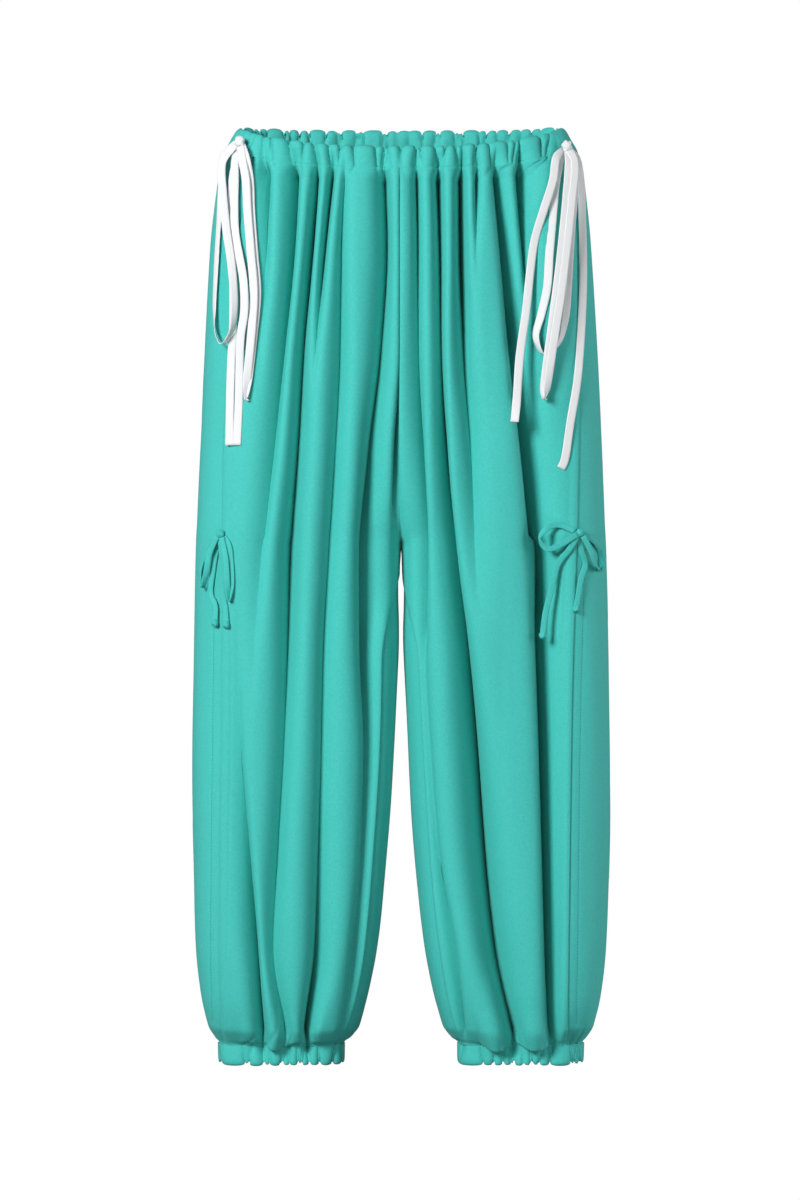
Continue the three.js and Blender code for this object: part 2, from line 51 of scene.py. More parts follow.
# %% [markdown]
# ## Camera
#
# The photograph looks level at the garment from far away, with a long lens, so the near and far
# sides of the cloth are almost the same size. One picture pixel is 1.13 mm on the front of the cloth,
# and a table or a formula that follows the photograph says its columns and rows in picture pixels.

# %% Camera
PIXEL = 1.13 * MM
PICTURE_TALL = 1200
FRONT_RIM_ROW = 147
FRONT_Y = -0.08
DISTANCE = 6.0
SENSOR = 36.0
CLIP_END = 60
camera = bpy.data.objects.new("camera", bpy.data.cameras.new("camera"))
bpy.context.scene.collection.objects.link(camera)
camera.data.sensor_width = SENSOR
camera.data.lens = SENSOR * DISTANCE / (PICTURE_TALL * PIXEL)
camera_height = (FRONT_RIM_ROW - PICTURE_TALL / 2) * PIXEL
camera.location = (-PIXEL, FRONT_Y - DISTANCE, camera_height)
camera.rotation_euler = (math.radians(90), 0, 0)
camera.data.clip_end = CLIP_END
bpy.context.scene.camera = camera
print("camera at", tuple(round(v, 3) for v in camera.location), "lens", round(camera.data.lens, 1))

# %% [markdown]
# ## Studio
#
# A white studio: a white floor under the cuffs and a white dome round everything. Both are only there
# for the camera to see, so they let the light pass, and the shade in the folds is set by the lamps
# and a weak, even sky alone. The key lamp stands front left, because light that rakes across cloth
# shows its folds. A weak lamp fills from the front right, one lifts the cuffs from below, and one at
# each side, a little behind, brightens the sides as a white studio does.


# %% Studio
def linear(hex_colour):
    """An sRGB hex colour as the linear RGBA that shaders use."""
    values = [int(hex_colour[i : i + 2], 16) / 255 for i in (1, 3, 5)]
    return (*[v / 12.92 if v <= 0.04045 else ((v + 0.055) / 1.055) ** 2.4 for v in values], 1.0)


def add_node(tree, kind, settings=None, **links):
    """Adds a node, sets its inputs or properties by name, and links the sockets given as keywords."""
    node = tree.nodes.new(kind)
    for name, value in (settings or {}).items():
        if name in node.inputs:
            node.inputs[name].default_value = value
        else:
            setattr(node, name, value)
    for name, socket in links.items():
        tree.links.new(socket, node.inputs[name.replace("_", " ")])
    return node


def new_piece(name, bm, material):
    """An object at the origin, made from a bmesh, with one material."""
    mesh = bpy.data.meshes.new(name)
    bm.to_mesh(mesh)
    bm.free()
    mesh.materials.append(material)
    piece = bpy.data.objects.new(name, mesh)
    bpy.context.scene.collection.objects.link(piece)
    return piece


def stage_piece(name, bm):
    """A glowing, evenly white piece of the studio, which isn't part of the garment."""
    material = bpy.data.materials.new(name)
    material.use_nodes = True
    tree = material.node_tree
    tree.nodes.clear()
    white = add_node(tree, "ShaderNodeEmission", {"Strength": 1.0})
    out = add_node(tree, "ShaderNodeOutputMaterial")
    tree.links.new(white.outputs[0], out.inputs["Surface"])
    piece = new_piece(name, bm, material)
    piece.visible_diffuse = piece.visible_glossy = piece.visible_shadow = False


FLOOR_Z = -1.10
FLOOR_RADIUS = 3
DOME_RADIUS = 14
SKY = 0.03
floor_mesh = bmesh.new()
bmesh.ops.create_circle(floor_mesh, cap_ends=True, segments=64, radius=FLOOR_RADIUS)
bmesh.ops.translate(floor_mesh, vec=(0, 0, FLOOR_Z), verts=floor_mesh.verts)
stage_piece("floor", floor_mesh)
dome_mesh = bmesh.new()
bmesh.ops.create_uvsphere(dome_mesh, u_segments=48, v_segments=24, radius=DOME_RADIUS)
stage_piece("dome", dome_mesh)

world = bpy.data.worlds.new("studio")
bpy.context.scene.world = world
world.use_nodes = True
sky = world.node_tree.nodes["Background"].inputs
sky["Color"].default_value = (1, 1, 1, 1)
sky["Strength"].default_value = SKY
bpy.context.scene.view_settings.view_transform = "Standard"


def soft_lamp(name, location, target, size, watts):
    """A square lamp that faces a point."""
    lamp = bpy.data.lights.new(name, "AREA")
    lamp.size = size
    lamp.energy = watts
    holder = bpy.data.objects.new(name, lamp)
    holder.location = location
    aim = Vector(target) - Vector(location)
    holder.rotation_euler = aim.to_track_quat("-Z", "Y").to_euler()
    bpy.context.scene.collection.objects.link(holder)


soft_lamp("key", (-2.3, -3.3, 1.1), (0, 0, -0.5), 1.4, 190)
soft_lamp("front_fill", (2.2, -3.2, 0.3), (0.1, 0, -0.5), 1.6, 24)
soft_lamp("rim_right", (3.1, 0.25, -0.2), (0.1, 0, -0.5), 1.2, 42)
soft_lamp("rim_left", (-3.0, 0.9, -0.2), (-0.1, 0, -0.5), 1.6, 15)
soft_lamp("floor_bounce", (0.4, -2.4, -2.4), (0, 0, -0.8), 2.0, 16)
print("studio ready")

# %% [markdown]
# ## The form of the garment
#
# Cloth that is filled out hangs as a tube. At each level its section is a rounded oblong, a
# superellipse, and the two legs are two such sections that move apart until they part at the fork.
# The CAD source has the same levels, in millimetres, and a rim that is 2 mm higher at the sides. The
# waist's rim rises to the sides, and its corners there are rounded off.

# %% Sizes of the form
CASING_TALL = 24
CUFF_TALL = 22
CUFF_TOP = 1018
FORK = 441
RIM_RISE = 31
BACK_RISE = -1
RIM_CURVE = 1.5
RIM_FADE = 230
CORNER_DROP = 8.0
CORNER_SHARE = 0.42
ROUNDNESS = 2.45
SEAM = 0.3
SIDES = ("left", "right")
LEVELS = {
    "drop": (0, 12, 24, 60, 116, 229, 342, 399, 425, 441, 568, 738, 851, 907, 964, 998, 1011, 1018, 1040),
    "out": (186, 192, 199, 206, 213, 220, 225, 227, 228, 229, 232, 234, 232, 230, 224, 216, 211, 208, 207),
    "fork": (
        0, 0, 0, 0.05, 0.12, 0.36, 0.7, 0.86, 0.95, 1, 1.07, 1.147, 1.242, 1.317, 1.475, 1.655, 1.8,
        1.93, 1.95,
    ),
    "deep": (73, 75, 77, 80, 84, 88, 88, 86, 85, 84, 80, 78, 76, 73, 66, 55, 45, 38, 36),
}
DROPS = LEVELS["drop"]
print("levels", len(DROPS), "from", DROPS[0], "to", DROPS[-1], "mm below the front rim")


# %% A smooth curve through a table
class Along:
    """A smooth curve through rows of rising keys, flat at each turning point, so it never overshoots."""

    def __init__(self, keys, values):
        self.keys = list(keys)
        self.values = list(values)
        last = len(self.keys) - 1
        rises = [self.values[i + 1] - self.values[i] for i in range(last)]
        steps = [rise / (self.keys[i + 1] - self.keys[i]) for i, rise in enumerate(rises)]
        self.slopes = [steps[0]]
        for before, after in zip(steps, steps[1:]):
            level = 0 if before * after <= 0 else 2 * before * after / (before + after)
            self.slopes.append(level)
        self.slopes.append(steps[-1])

    def __call__(self, key):
        keys, values = self.keys, self.values
        key = min(max(key, keys[0]), keys[-1])
        i = min(bisect.bisect_right(keys, key) - 1, len(keys) - 2)
        wide = keys[i + 1] - keys[i]
        t = (key - keys[i]) / wide
        rise = values[i + 1] - values[i]
        start, end = self.slopes[i] * wide, self.slopes[i + 1] * wide
        return values[i] + t * (start + t * (3 * rise - 2 * start - end + t * (start + end - 2 * rise)))


def mix(a, b, t):
    return a + (b - a) * t


def smooth(share):
    return share * share * (3 - 2 * share)


def power(value, exponent):
    return math.copysign(abs(value) ** exponent, value)


def clamp(value, low=0.0, high=1.0):
    return min(max(value, low), high)


OUT, FORK_SHARE, DEEP = [Along(DROPS, LEVELS[name]) for name in ("out", "fork", "deep")]
print("half width at the crotch point", OUT(FORK), "mm")


# %% The section of a leg, and a point on it
def section(drop):
    """A leg's superellipse at one level: its middle, half width and half depth, in mm."""
    fork = FORK_SHARE(drop)
    half = OUT(drop) / (1 + fork)
    return fork * half, half, DEEP(drop)


def angle_at(across, shape, front):
    """The section's angle at a distance from the centre line: 0 is the outer side, the front is below 0."""
    middle, half, _ = shape
    share = clamp((across - middle) / half, -1, 1)
    angle = math.acos(power(share, ROUNDNESS / 2))
    return -angle if front else angle


def body(angle, drop, shape):
    """A point of the smooth body, in mm, and its outward normal; x is measured from the centre line."""
    middle, half, deep = shape
    c, s = math.cos(angle), math.sin(angle)
    deep_share = power(s, 2 / ROUNDNESS)
    fall = -RIM_RISE * abs(deep_share) ** RIM_CURVE if deep_share < 0 else BACK_RISE * deep_share
    lift = RIM_RISE + fall - CORNER_DROP * clamp(1 - abs(deep_share) / CORNER_SHARE) ** 2
    lift *= (1 - clamp((drop - CASING_TALL) / RIM_FADE)) ** RIM_CURVE
    point = Vector((middle + half * power(c, 2 / ROUNDNESS), deep * deep_share, lift - drop))
    steep = 2 - 2 / ROUNDNESS
    normal = Vector((power(c, steep) / half, power(s, steep) / deep, 0)).normalized()
    return point, normal


print("middle, half width and half depth at the crotch point", section(FORK))


# %% [markdown]
# ## Folds
#
# Gathered cloth hangs as round ridges between narrow valleys, so only the valleys are listed, and the
# ridges are what is left between them. Each valley was followed down the photograph: its picture
# column at ten picture rows, its depth there in millimetres, and how far it spreads towards the side
# seam and towards the middle. A small spread on one side makes the sharp lip of an overhanging fold.

# %% Seams and folds of the fronts
SIDE_ROWS = {
    "left": [(0, 160), (60, 173), (116, 183), (229, 192), (342, 199), (625, 201), (907, 204), (1040, 200)],
    "right": [(0, 170), (60, 190), (116, 197), (229, 200), (399, 198), (625, 192), (851, 189), (1040, 187)],
}
INSEAM_ROWS = {
    "left": [(441, 0.3), (467, 12), (512, 22), (681, 27), (794, 34), (907, 44), (964, 54), (1018, 71)],
    "right": [(441, 0.3), (467, 12), (512, 17), (568, 22), (681, 28), (851, 40), (964, 56), (1018, 71)],
}
MIDDLE_COLUMN = 401
FOLD_ROWS = (168, 250, 350, 450, 550, 650, 750, 850, 950, 1035)
LIT_FROM_LEFT = 3
LEFT_VALLEYS = [
    {"at": (262, 262, 258, 250, 241, 236, 238, 244, 251, 258), "side": (7, 7, 7, 7, 7, 9, 9, 9, 8, 6),
     "deep": (7, 3, 1, 0, 0, 1, 2, 5, 9, 9), "middle": (6, 7, 8, 8, 8, 7, 6, 5, 5, 5)},
    {"at": (291, 287, 278, 269, 259, 252, 248, 246, 246, 250), "side": (8, 8, 9, 10, 11, 12, 12, 12, 12, 12),
     "deep": (10, 9, 7, 5, 3, 1, 0, 0, 0, 0), "middle": (6, 6, 7, 8, 9, 10, 10, 10, 10, 10)},
    {"at": (314, 307, 298, 293, 287, 284, 280, 274, 269, 283), "side": (5, 6, 8, 9, 11, 11, 11, 10, 10, 6),
     "deep": (8, 12, 9, 9, 10, 8, 6, 6, 5, 5), "middle": (4, 4, 7, 10, 10, 10, 10, 10, 11, 6)},
    {"at": (330, 321, 313, 309, 306, 303, 300, 299, 298, 296), "side": (4, 5, 6, 8, 8, 8, 8, 8, 8, 8),
     "deep": (9, 8, 2, 0, 0, 0, 0, 0, 0, 0), "middle": (3, 4, 6, 8, 8, 8, 8, 8, 8, 8)},
    {"at": (342, 338, 337, 333, 328, 322, 320, 318, 316, 305), "side": (4, 6, 10, 11, 12, 11, 11, 11, 10, 6),
     "deep": (2, 5, 6, 6, 6, 6, 6, 7, 9, 13), "middle": (5, 6, 8, 9, 10, 11, 12, 12, 9, 3)},
    {"at": (382, 385, 380, 372, 370, 371, 375, 371, 362, 347), "side": (9, 11, 13, 12, 13, 13, 13, 11, 10, 6),
     "deep": (9, 9, 8, 9, 10, 10, 9, 9, 9, 6), "middle": (5, 4, 6, 8, 9, 8, 6, 6, 6, 5)},
    {"at": (401, 400, 398, 396, 392, 390, 388, 386, 384, 380), "side": (3, 3, 3, 5, 5, 5, 5, 5, 5, 5),
     "deep": (2, 2, 2, 7, 4, 1, 0, 0, 0, 0), "middle": (3, 3, 3, 3, 3, 3, 3, 3, 3, 3)},
]
RIGHT_VALLEYS = [
    {"at": (414, 415, 415, 417, 420, 419, 425, 433, 449, 460), "side": (4, 5, 6, 5, 5, 6, 6, 6, 6, 5),
     "deep": (8, 6, 5, 6, 6, 4, 3, 3, 4, 4), "middle": (5, 6, 8, 7, 6, 7, 8, 9, 9, 7)},
    {"at": (436, 438, 439, 442, 447, 457, 465, 472, 486, 510), "side": (4, 4, 3, 3, 5, 8, 13, 18, 18, 8),
     "deep": (12, 9, 7, 12, 15, 16, 16, 16, 14, 11), "middle": (6, 7, 8, 8, 8, 8, 9, 9, 9, 6)},
    {"at": (460, 460, 461, 467, 472, 478, 482, 489, 500, 520), "side": (3, 4, 8, 12, 12, 12, 12, 12, 12, 12),
     "deep": (12, 13, 8, 5, 2, 0, 0, 0, 0, 0), "middle": (7, 7, 8, 8, 9, 9, 9, 9, 9, 9)},
    {"at": (475, 473, 473, 475, 478, 482, 486, 490, 500, 520), "side": (3, 4, 4, 4, 4, 4, 4, 4, 4, 4),
     "deep": (9, 1, 0, 0, 0, 0, 0, 0, 0, 0), "middle": (4, 4, 4, 4, 4, 4, 4, 4, 4, 4)},
    {"at": (493, 501, 510, 523, 533, 539, 542, 545, 548, 551), "side": (7, 14, 22, 23, 18, 14, 12, 10, 8, 6),
     "deep": (9, 10, 11, 13, 14, 14, 14, 14, 14, 9), "middle": (5, 5, 5, 6, 7, 7, 6, 6, 6, 6)},
    {"at": (519, 524, 532, 540, 548, 552, 556, 558, 560, 562), "side": (7, 9, 10, 10, 10, 10, 10, 10, 10, 10),
     "deep": (12, 7, 2, 0, 0, 0, 0, 0, 0, 0), "middle": (6, 6, 8, 8, 8, 8, 8, 8, 8, 8)},
]
VALLEYS = {"left": LEFT_VALLEYS, "right": RIGHT_VALLEYS}
print("valleys", {side: len(rows) for side, rows in VALLEYS.items()})

# %% Folds of the backs
BACK_DROPS = (24, 441, 794, 1003)
BACK_VALLEYS = [
    {"at": (165, 185, 192, 176), "deep": (6, 4, 5, 8), "side": (8, 10, 10, 6), "middle": (7, 9, 9, 6)},
    {"at": (133, 156, 170, 157), "deep": (10, 8, 7, 9), "side": (7, 10, 11, 6), "middle": (6, 8, 9, 6)},
    {"at": (112, 134, 150, 141), "deep": (6, 2, 3, 7), "side": (5, 8, 9, 5), "middle": (6, 8, 8, 5)},
    {"at": (89, 112, 129, 126), "deep": (10, 9, 8, 9), "side": (7, 10, 11, 6), "middle": (7, 9, 9, 6)},
    {"at": (66, 86, 106, 112), "deep": (5, 1, 3, 6), "side": (6, 8, 8, 5), "middle": (6, 8, 8, 5)},
    {"at": (47, 68, 87, 97), "deep": (11, 9, 7, 9), "side": (8, 10, 11, 6), "middle": (7, 9, 9, 6)},
    {"at": (24, 36, 56, 82), "deep": (8, 5, 3, 5), "side": (6, 8, 8, 5), "middle": (5, 7, 7, 5)},
]
LIFT = 5.0
FRONT_DEPTH = 4.4
BACK_DEPTH = 2.2
VALLEY_SHARP = 1.25
COLUMNS = ("at", "deep", "side", "middle")


def drop_of(row):
    """The drop below the front rim of a row of the picture, in mm."""
    return (row - FRONT_RIM_ROW) * PIXEL / MM


def across_of(column, side):
    """The distance from the centre line of a column of the picture, in mm."""
    return (column + LIT_FROM_LEFT - MIDDLE_COLUMN) * PIXEL / MM * (1 if side == "right" else -1)


def front_valley(row, side):
    """The curves of one valley down a front: its place, depth and two spreads."""
    drops = [drop_of(r) for r in FOLD_ROWS]
    at = Along(drops, [max(across_of(column, side), 0.5) for column in row["at"]])
    return at, *[Along(drops, row[name]) for name in COLUMNS[1:]]


FRONT_CURVES = {side: [front_valley(row, side) for row in rows] for side, rows in VALLEYS.items()}
BACK_CURVES = [[Along(BACK_DROPS, row[name]) for name in COLUMNS] for row in BACK_VALLEYS]
SIDE_SEAM = {side: Along(*zip(*SIDE_ROWS[side])) for side in SIDES}
INSEAM = {side: Along(*zip(*INSEAM_ROWS[side])) for side in SIDES}
print("back valleys", len(BACK_CURVES))


# %% Relief of the folds
NEAR_CUFF = 20
NEAR_WAIST = 14
CUFF_KEEPS = 0.35
WAIST_KEEPS = 0.4
BEHIND_FROM = -0.25
BEHIND_STEEP = 4
FRONT_STEEP = 3


def settle(drop):
    """How much of a fold's depth there is close to the waist casing and the cuff, which draw it flat."""
    by_cuff = mix(CUFF_KEEPS, 1, clamp((CUFF_TOP - drop) / NEAR_CUFF))
    by_waist = mix(WAIST_KEEPS, 1, clamp((drop - CASING_TALL) / NEAR_WAIST))
    return by_cuff * by_waist


def behind(sine):
    """0 in front and 1 behind, by the sine of the section's angle, with a soft change at the sides."""
    return clamp((sine - BEHIND_FROM) * BEHIND_STEEP)


def in_front(sine):
    """1 in front and 0 behind, with a soft change at the sides."""
    return clamp(-sine * FRONT_STEEP)


def valleys_at(curves, drop, depth=FRONT_DEPTH):
    """Each valley at one drop: its place, depth and two spreads, in mm."""
    share = settle(drop) * depth
    return [(at(drop), deep(drop) * share, out(drop), into(drop)) for at, deep, out, into in curves]


def fold_relief(across, valleys):
    """How far the folds stand out at a distance from the centre line; valleys that meet don't add up."""
    total = 0.0
    for at, deep, toward_side, toward_middle in valleys:
        spread = toward_side if across > at else toward_middle
        total += (deep * math.exp(-((abs(across - at) / spread) ** VALLEY_SHARP))) ** 2
    return LIFT - math.sqrt(total)


print("depth kept at the cuff", settle(CUFF_TOP), "and at the waist", settle(CASING_TALL))

# %% [markdown]
# ## Gathers
#
# A drawn-up casing is a row of rounded puffs between sharp creases, wide ones among clusters of tight
# ones, and each crease leans its own way. The creases of the two fronts were read off the photograph
# as picture columns. Those of the hidden half are an uneven wave with about as many.

# %% Creases
WAIST_CREASES = (
    244, 252, 262, 271, 289, 302, 315, 329, 339, 354, 376, 383, 389, 402, 415, 421, 436, 444,
    457, 463, 475, 490, 508, 514, 521, 541, 548, 557, 566,
)
CUFF_CREASES = {
    "left": (218, 243, 249, 262, 268, 283, 288, 297, 302, 308, 318, 333, 341),
    "right": (455, 483, 496, 503, 511, 516, 524, 532, 542, 550, 572, 577, 581),
}
WIDE_PUFF = 16
LEAST_PUFF = 0.25
PUFF_SIDES = 0.4
CREASE_WIDE = 1.9
CREASE_SHARE = 0.28
CREASE_DEEP = 2.2
LEAN = 2.0
HIDDEN_FROM = 222
HIDDEN_PITCH = 9.2
HIDDEN_COUNT = 40


def hidden_crease(k):
    """The column of a crease of the hidden half, where an uneven wave sets the distances."""
    return HIDDEN_FROM + HIDDEN_PITCH * (k + 0.42 * math.sin(2.3 * k) + 0.3 * math.sin(1.1 * k))


HIDDEN_CREASES = tuple(hidden_crease(k) for k in range(HIDDEN_COUNT))


def column_of(across, side):
    """The column of the picture at a distance from the centre line, in mm."""
    return MIDDLE_COLUMN + across / (PIXEL / MM) * (1 if side == "right" else -1)


def crease_at(creases, k, down):
    """A crease's column and depth: some are deep at the gathered edge, some at the stitches."""
    place = creases[k] + LEAN * math.sin(2.1 * k + 0.5) * (2 * down - 1)
    depth = 0.85 + 0.7 * math.sin(2.7 * k + 0.9) * (down - 0.45)
    return place, depth


def puff(column, creases, down):
    """The relief between creases, from about -1 in one to 1 on a wide puff."""
    k = min(max(bisect.bisect_right(creases, column) - 1, 0), len(creases) - 2)
    (left, left_depth), (right, right_depth) = crease_at(creases, k, down), crease_at(creases, k + 1, down)
    wide = max(right - left, 1)
    height = clamp(wide / WIDE_PUFF, LEAST_PUFF, 1.0)
    t = clamp((column - left) / wide)
    fall = min(CREASE_WIDE, CREASE_SHARE * wide)
    dip = left_depth * math.exp(-t * wide / fall) + right_depth * math.exp(-(1 - t) * wide / fall)
    return height * mix(PUFF_SIDES, 1, math.sin(math.pi * t)) - CREASE_DEEP * dip


def waist_puff(side, across, front, down):
    return puff(column_of(across, side), WAIST_CREASES if front else HIDDEN_CREASES, down)


def cuff_puff(side, across, sine, down):
    """The relief of a cuff, whose creases behind are those of the hidden half."""
    column = column_of(across, side)
    seen, unseen = puff(column, CUFF_CREASES[side], down), puff(column, HIDDEN_CREASES, down)
    return mix(seen, unseen, behind(sine))


print("creases", len(WAIST_CREASES), [len(c) for c in CUFF_CREASES.values()])

# %% [markdown]
# ## Where cloth hangs over the cuffs
#
# Above the elastic the cloth balloons, and the ends of the big folds hang down over the cuff before
# they turn back up to the seam. Each row is one such fold: its column, half its width in pixels, and
# how far it hangs and stands out in mm.

# %% Pouches
POUCH_TALL = 46.0
POUCH_TURN = 0.86
POUCHES = {
    "left": [
        {"at": 252, "half": 10, "hang": 1, "out": 3, "drift": 0, "slope": 0.0},
        {"at": 279, "half": 10, "hang": 17, "out": 5, "drift": -10, "slope": 0.05},
        {"at": 297, "half": 8, "hang": 1, "out": 4, "drift": 3, "slope": 0.0},
        {"at": 314, "half": 8, "hang": 1, "out": 4, "drift": 0, "slope": 0.0},
        {"at": 328, "half": 8, "hang": 1, "out": 3, "drift": 0, "slope": 0.0},
    ],
    "right": [
        {"at": 498, "half": 12, "hang": 19, "out": 6, "drift": 4, "slope": -0.2},
        {"at": 536, "half": 14, "hang": 17, "out": 6, "drift": 0, "slope": -0.05},
    ],
}
HIDDEN_POUCH = {"hang": 1.0, "out": 1.0}


def pouch(side, across, sine, above):
    """How far the cloth stands out, drifts across and hangs down above the cuff's seam, in mm."""
    share = clamp(1 - above / POUCH_TALL)
    swell = smooth(share / POUCH_TURN) if share < POUCH_TURN else smooth((1 - share) / (1 - POUCH_TURN))
    column = column_of(across, side)
    back = behind(sine)
    out, hang, drift = HIDDEN_POUCH["out"] * back, HIDDEN_POUCH["hang"] * back, 0
    for row in POUCHES[side]:
        place = row["at"] + row["slope"] * above
        weight = math.exp(-(abs((column - place) / row["half"]) ** 2.5)) * (1 - back)
        out += row["out"] * weight
        hang += row["hang"] * weight
        drift += row["drift"] * weight
    low = share**3
    return out * swell, drift * swell * low, hang * swell * low


print("pouches", sum(len(rows) for rows in POUCHES.values()))

# %% [markdown]
# ## Jersey
#
# The cloth is a double-knit jersey of polyester and viscose: matt, dense and smooth, with a soft
# bloom at grazing angles that sheen gives. Its knit has wales about 1.1 mm wide, drawn as a fine bump
# along the cloth, and a weak noise between two near tones gives the dyed yarn's slight unevenness.

# %% Jersey material
JERSEY_HEX = "#3DC9BF"
JERSEY_DEEP_HEX = "#29B2AA"
WALE = 1.1 * MM
MOTTLE = 2.4 * MM
NAP = 0.9 * MM


def new_material(name):
    material = bpy.data.materials.new(name)
    material.use_nodes = True
    return material, material.node_tree, material.node_tree.nodes["Principled BSDF"]


def set_shader(shader, **values):
    """Sets the shader's own sockets, as the export keeps them."""
    for name, value in values.items():
        shader.inputs[name.replace("_", " ")].default_value = value


def make_jersey():
    material, tree, shader = new_material("turquoise_double_knit_jersey")
    set_shader(shader, Roughness=0.85, IOR=1.5, Sheen_Weight=0.08, Sheen_Roughness=0.4)
    set_shader(shader, Sheen_Tint=linear("#D8F5F0"), Specular_IOR_Level=0.9)
    place = add_node(tree, "ShaderNodeTexCoord").outputs["Object"]
    patches = {"Scale": 1 / MOTTLE, "Detail": 3.0}
    mottle = add_node(tree, "ShaderNodeTexNoise", patches, Vector=place)
    colour = add_node(tree, "ShaderNodeMix", {"data_type": "RGBA"})
    colour.inputs[6].default_value = linear(JERSEY_DEEP_HEX)
    colour.inputs[7].default_value = linear(JERSEY_HEX)
    tree.links.new(mottle.outputs["Fac"], colour.inputs[0])
    tree.links.new(colour.outputs[2], shader.inputs["Base Color"])
    along = add_node(tree, "ShaderNodeUVMap").outputs["UV"]
    wave = {"Scale": MM / WALE, "Distortion": 0.6, "Detail": 1.0}
    wales = add_node(tree, "ShaderNodeTexWave", wave, Vector=along)
    nap = add_node(tree, "ShaderNodeTexNoise", {"Scale": 1 / NAP, "Detail": 4.0}, Vector=place)
    both = add_node(tree, "ShaderNodeMath", {"operation": "ADD"})
    tree.links.new(wales.outputs["Fac"], both.inputs[0])
    tree.links.new(nap.outputs["Fac"], both.inputs[1])
    rough = {"Strength": 0.25, "Distance": 0.12 * MM}
    bump = add_node(tree, "ShaderNodeBump", rough, Height=both.outputs[0])
    tree.links.new(bump.outputs["Normal"], shader.inputs["Normal"])
    return material


jersey = make_jersey()
print("material", jersey.name)

# %% [markdown]
# ## Ribbon tape
#
# The drawstring is a flat cotton tape, woven in a twill, bleached white and matt. Its weave is finer
# than a pixel, so a weak diagonal bump that follows the tape is enough.


# %% Ribbon material
def make_cotton():
    """White cotton tape, with a bump along the tape's own UV map, in millimetres."""
    material, tree, shader = new_material("white_cotton_twill_tape")
    set_shader(shader, Base_Color=linear("#E8EAEC"), Roughness=0.9, IOR=1.5, Sheen_Weight=0.15)
    along = add_node(tree, "ShaderNodeUVMap").outputs["UV"]
    weave = {"bands_direction": "DIAGONAL", "Scale": 0.45, "Distortion": 0.4}
    twill = add_node(tree, "ShaderNodeTexWave", weave, Vector=along)
    rough = {"Strength": 0.5, "Distance": 0.15 * MM}
    bump = add_node(tree, "ShaderNodeBump", rough, Height=twill.outputs["Fac"])
    tree.links.new(bump.outputs["Normal"], shader.inputs["Normal"])
    return material


cotton = make_cotton()
print("material", cotton.name)

# %% [markdown]
# ## Stitches
#
# The thread is turquoise like the cloth. A stitch is a short rounded bar that dips into the cloth at
# both ends; the rows of stitches lie in the grooves that they have pulled into the cloth. Each row
# follows a line of the mesh it is sewn into, and all the stitches of one row are one joined mesh.

# %% Thread
STITCH = {"long": 2.6, "pitch": 3.7, "thick": 0.55, "proud": 0.35, "tip": 0.35, "rise": 1.4, "sunk": 0.6}
STITCH_RINGS = 4
STITCH_SIDES = 5


def make_thread():
    """Polyester sewing thread: a darker turquoise with a faint shine."""
    material, _, shader = new_material("turquoise_polyester_thread")
    set_shader(shader, Base_Color=linear("#0B8C85"), Roughness=0.45, IOR=1.5)
    return material


thread = make_thread()


def one_stitch(bm, middle, along, facing):
    """A bar that is thickest and proudest at its middle."""
    sideways = along.cross(facing).normalized()
    rings = []
    for r in range(STITCH_RINGS + 1):
        share = 2 * r / STITCH_RINGS - 1
        arch = 1 - share * share
        thick = STITCH["thick"] * MM / 2 * mix(STITCH["tip"], 1, math.sqrt(arch))
        proud = STITCH["proud"] * MM * (STITCH["rise"] * arch - STITCH["sunk"])
        centre = middle + along * (share * STITCH["long"] * MM / 2) + facing * proud
        turns = [math.tau * k / STITCH_SIDES for k in range(STITCH_SIDES)]
        aways = [sideways * math.cos(turn) + facing * math.sin(turn) for turn in turns]
        rings.append([bm.verts.new(centre + away * thick) for away in aways])
    for low, high in zip(rings, rings[1:]):
        for k in range(STITCH_SIDES):
            n = (k + 1) % STITCH_SIDES
            bm.faces.new((low[k], low[n], high[n], high[k])).smooth = True
    bm.faces.new(reversed(rings[0]))
    bm.faces.new(rings[-1])


def stitches(name, line):
    """A row of stitches along a line of (place, outward normal), in metres, as one mesh."""
    bm = bmesh.new()
    walked = due = 0.0
    for (a, facing), (b, _) in zip(line, line[1:]):
        step = (b - a).length
        while step > 0 and due < walked + step:
            along = (b - a) / step
            one_stitch(bm, a + along * (due - walked), along, facing)
            due += STITCH["pitch"] * MM
        walked += step
    bmesh.ops.recalc_face_normals(bm, faces=bm.faces)
    piece = new_piece(name, bm, thread)
    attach(piece, "root")
    print(name, len(piece.data.polygons), "faces")
    return piece


print("stitch", STITCH)

# %% [markdown]
# ## A sheet of cloth
#
# Every panel starts as a flat grid, as the cloth was cut, and a shape function moves each of its
# points into place. The grid's columns follow the folds, so a fold has smooth sides with few faces.
# Solidify then gives the cloth its thickness inwards.

# %% A shaped sheet
CLOTH = 1.6 * MM
WELD = 0.01 * MM
UV_COLUMN = 1.5
UV_ROW = 3.3


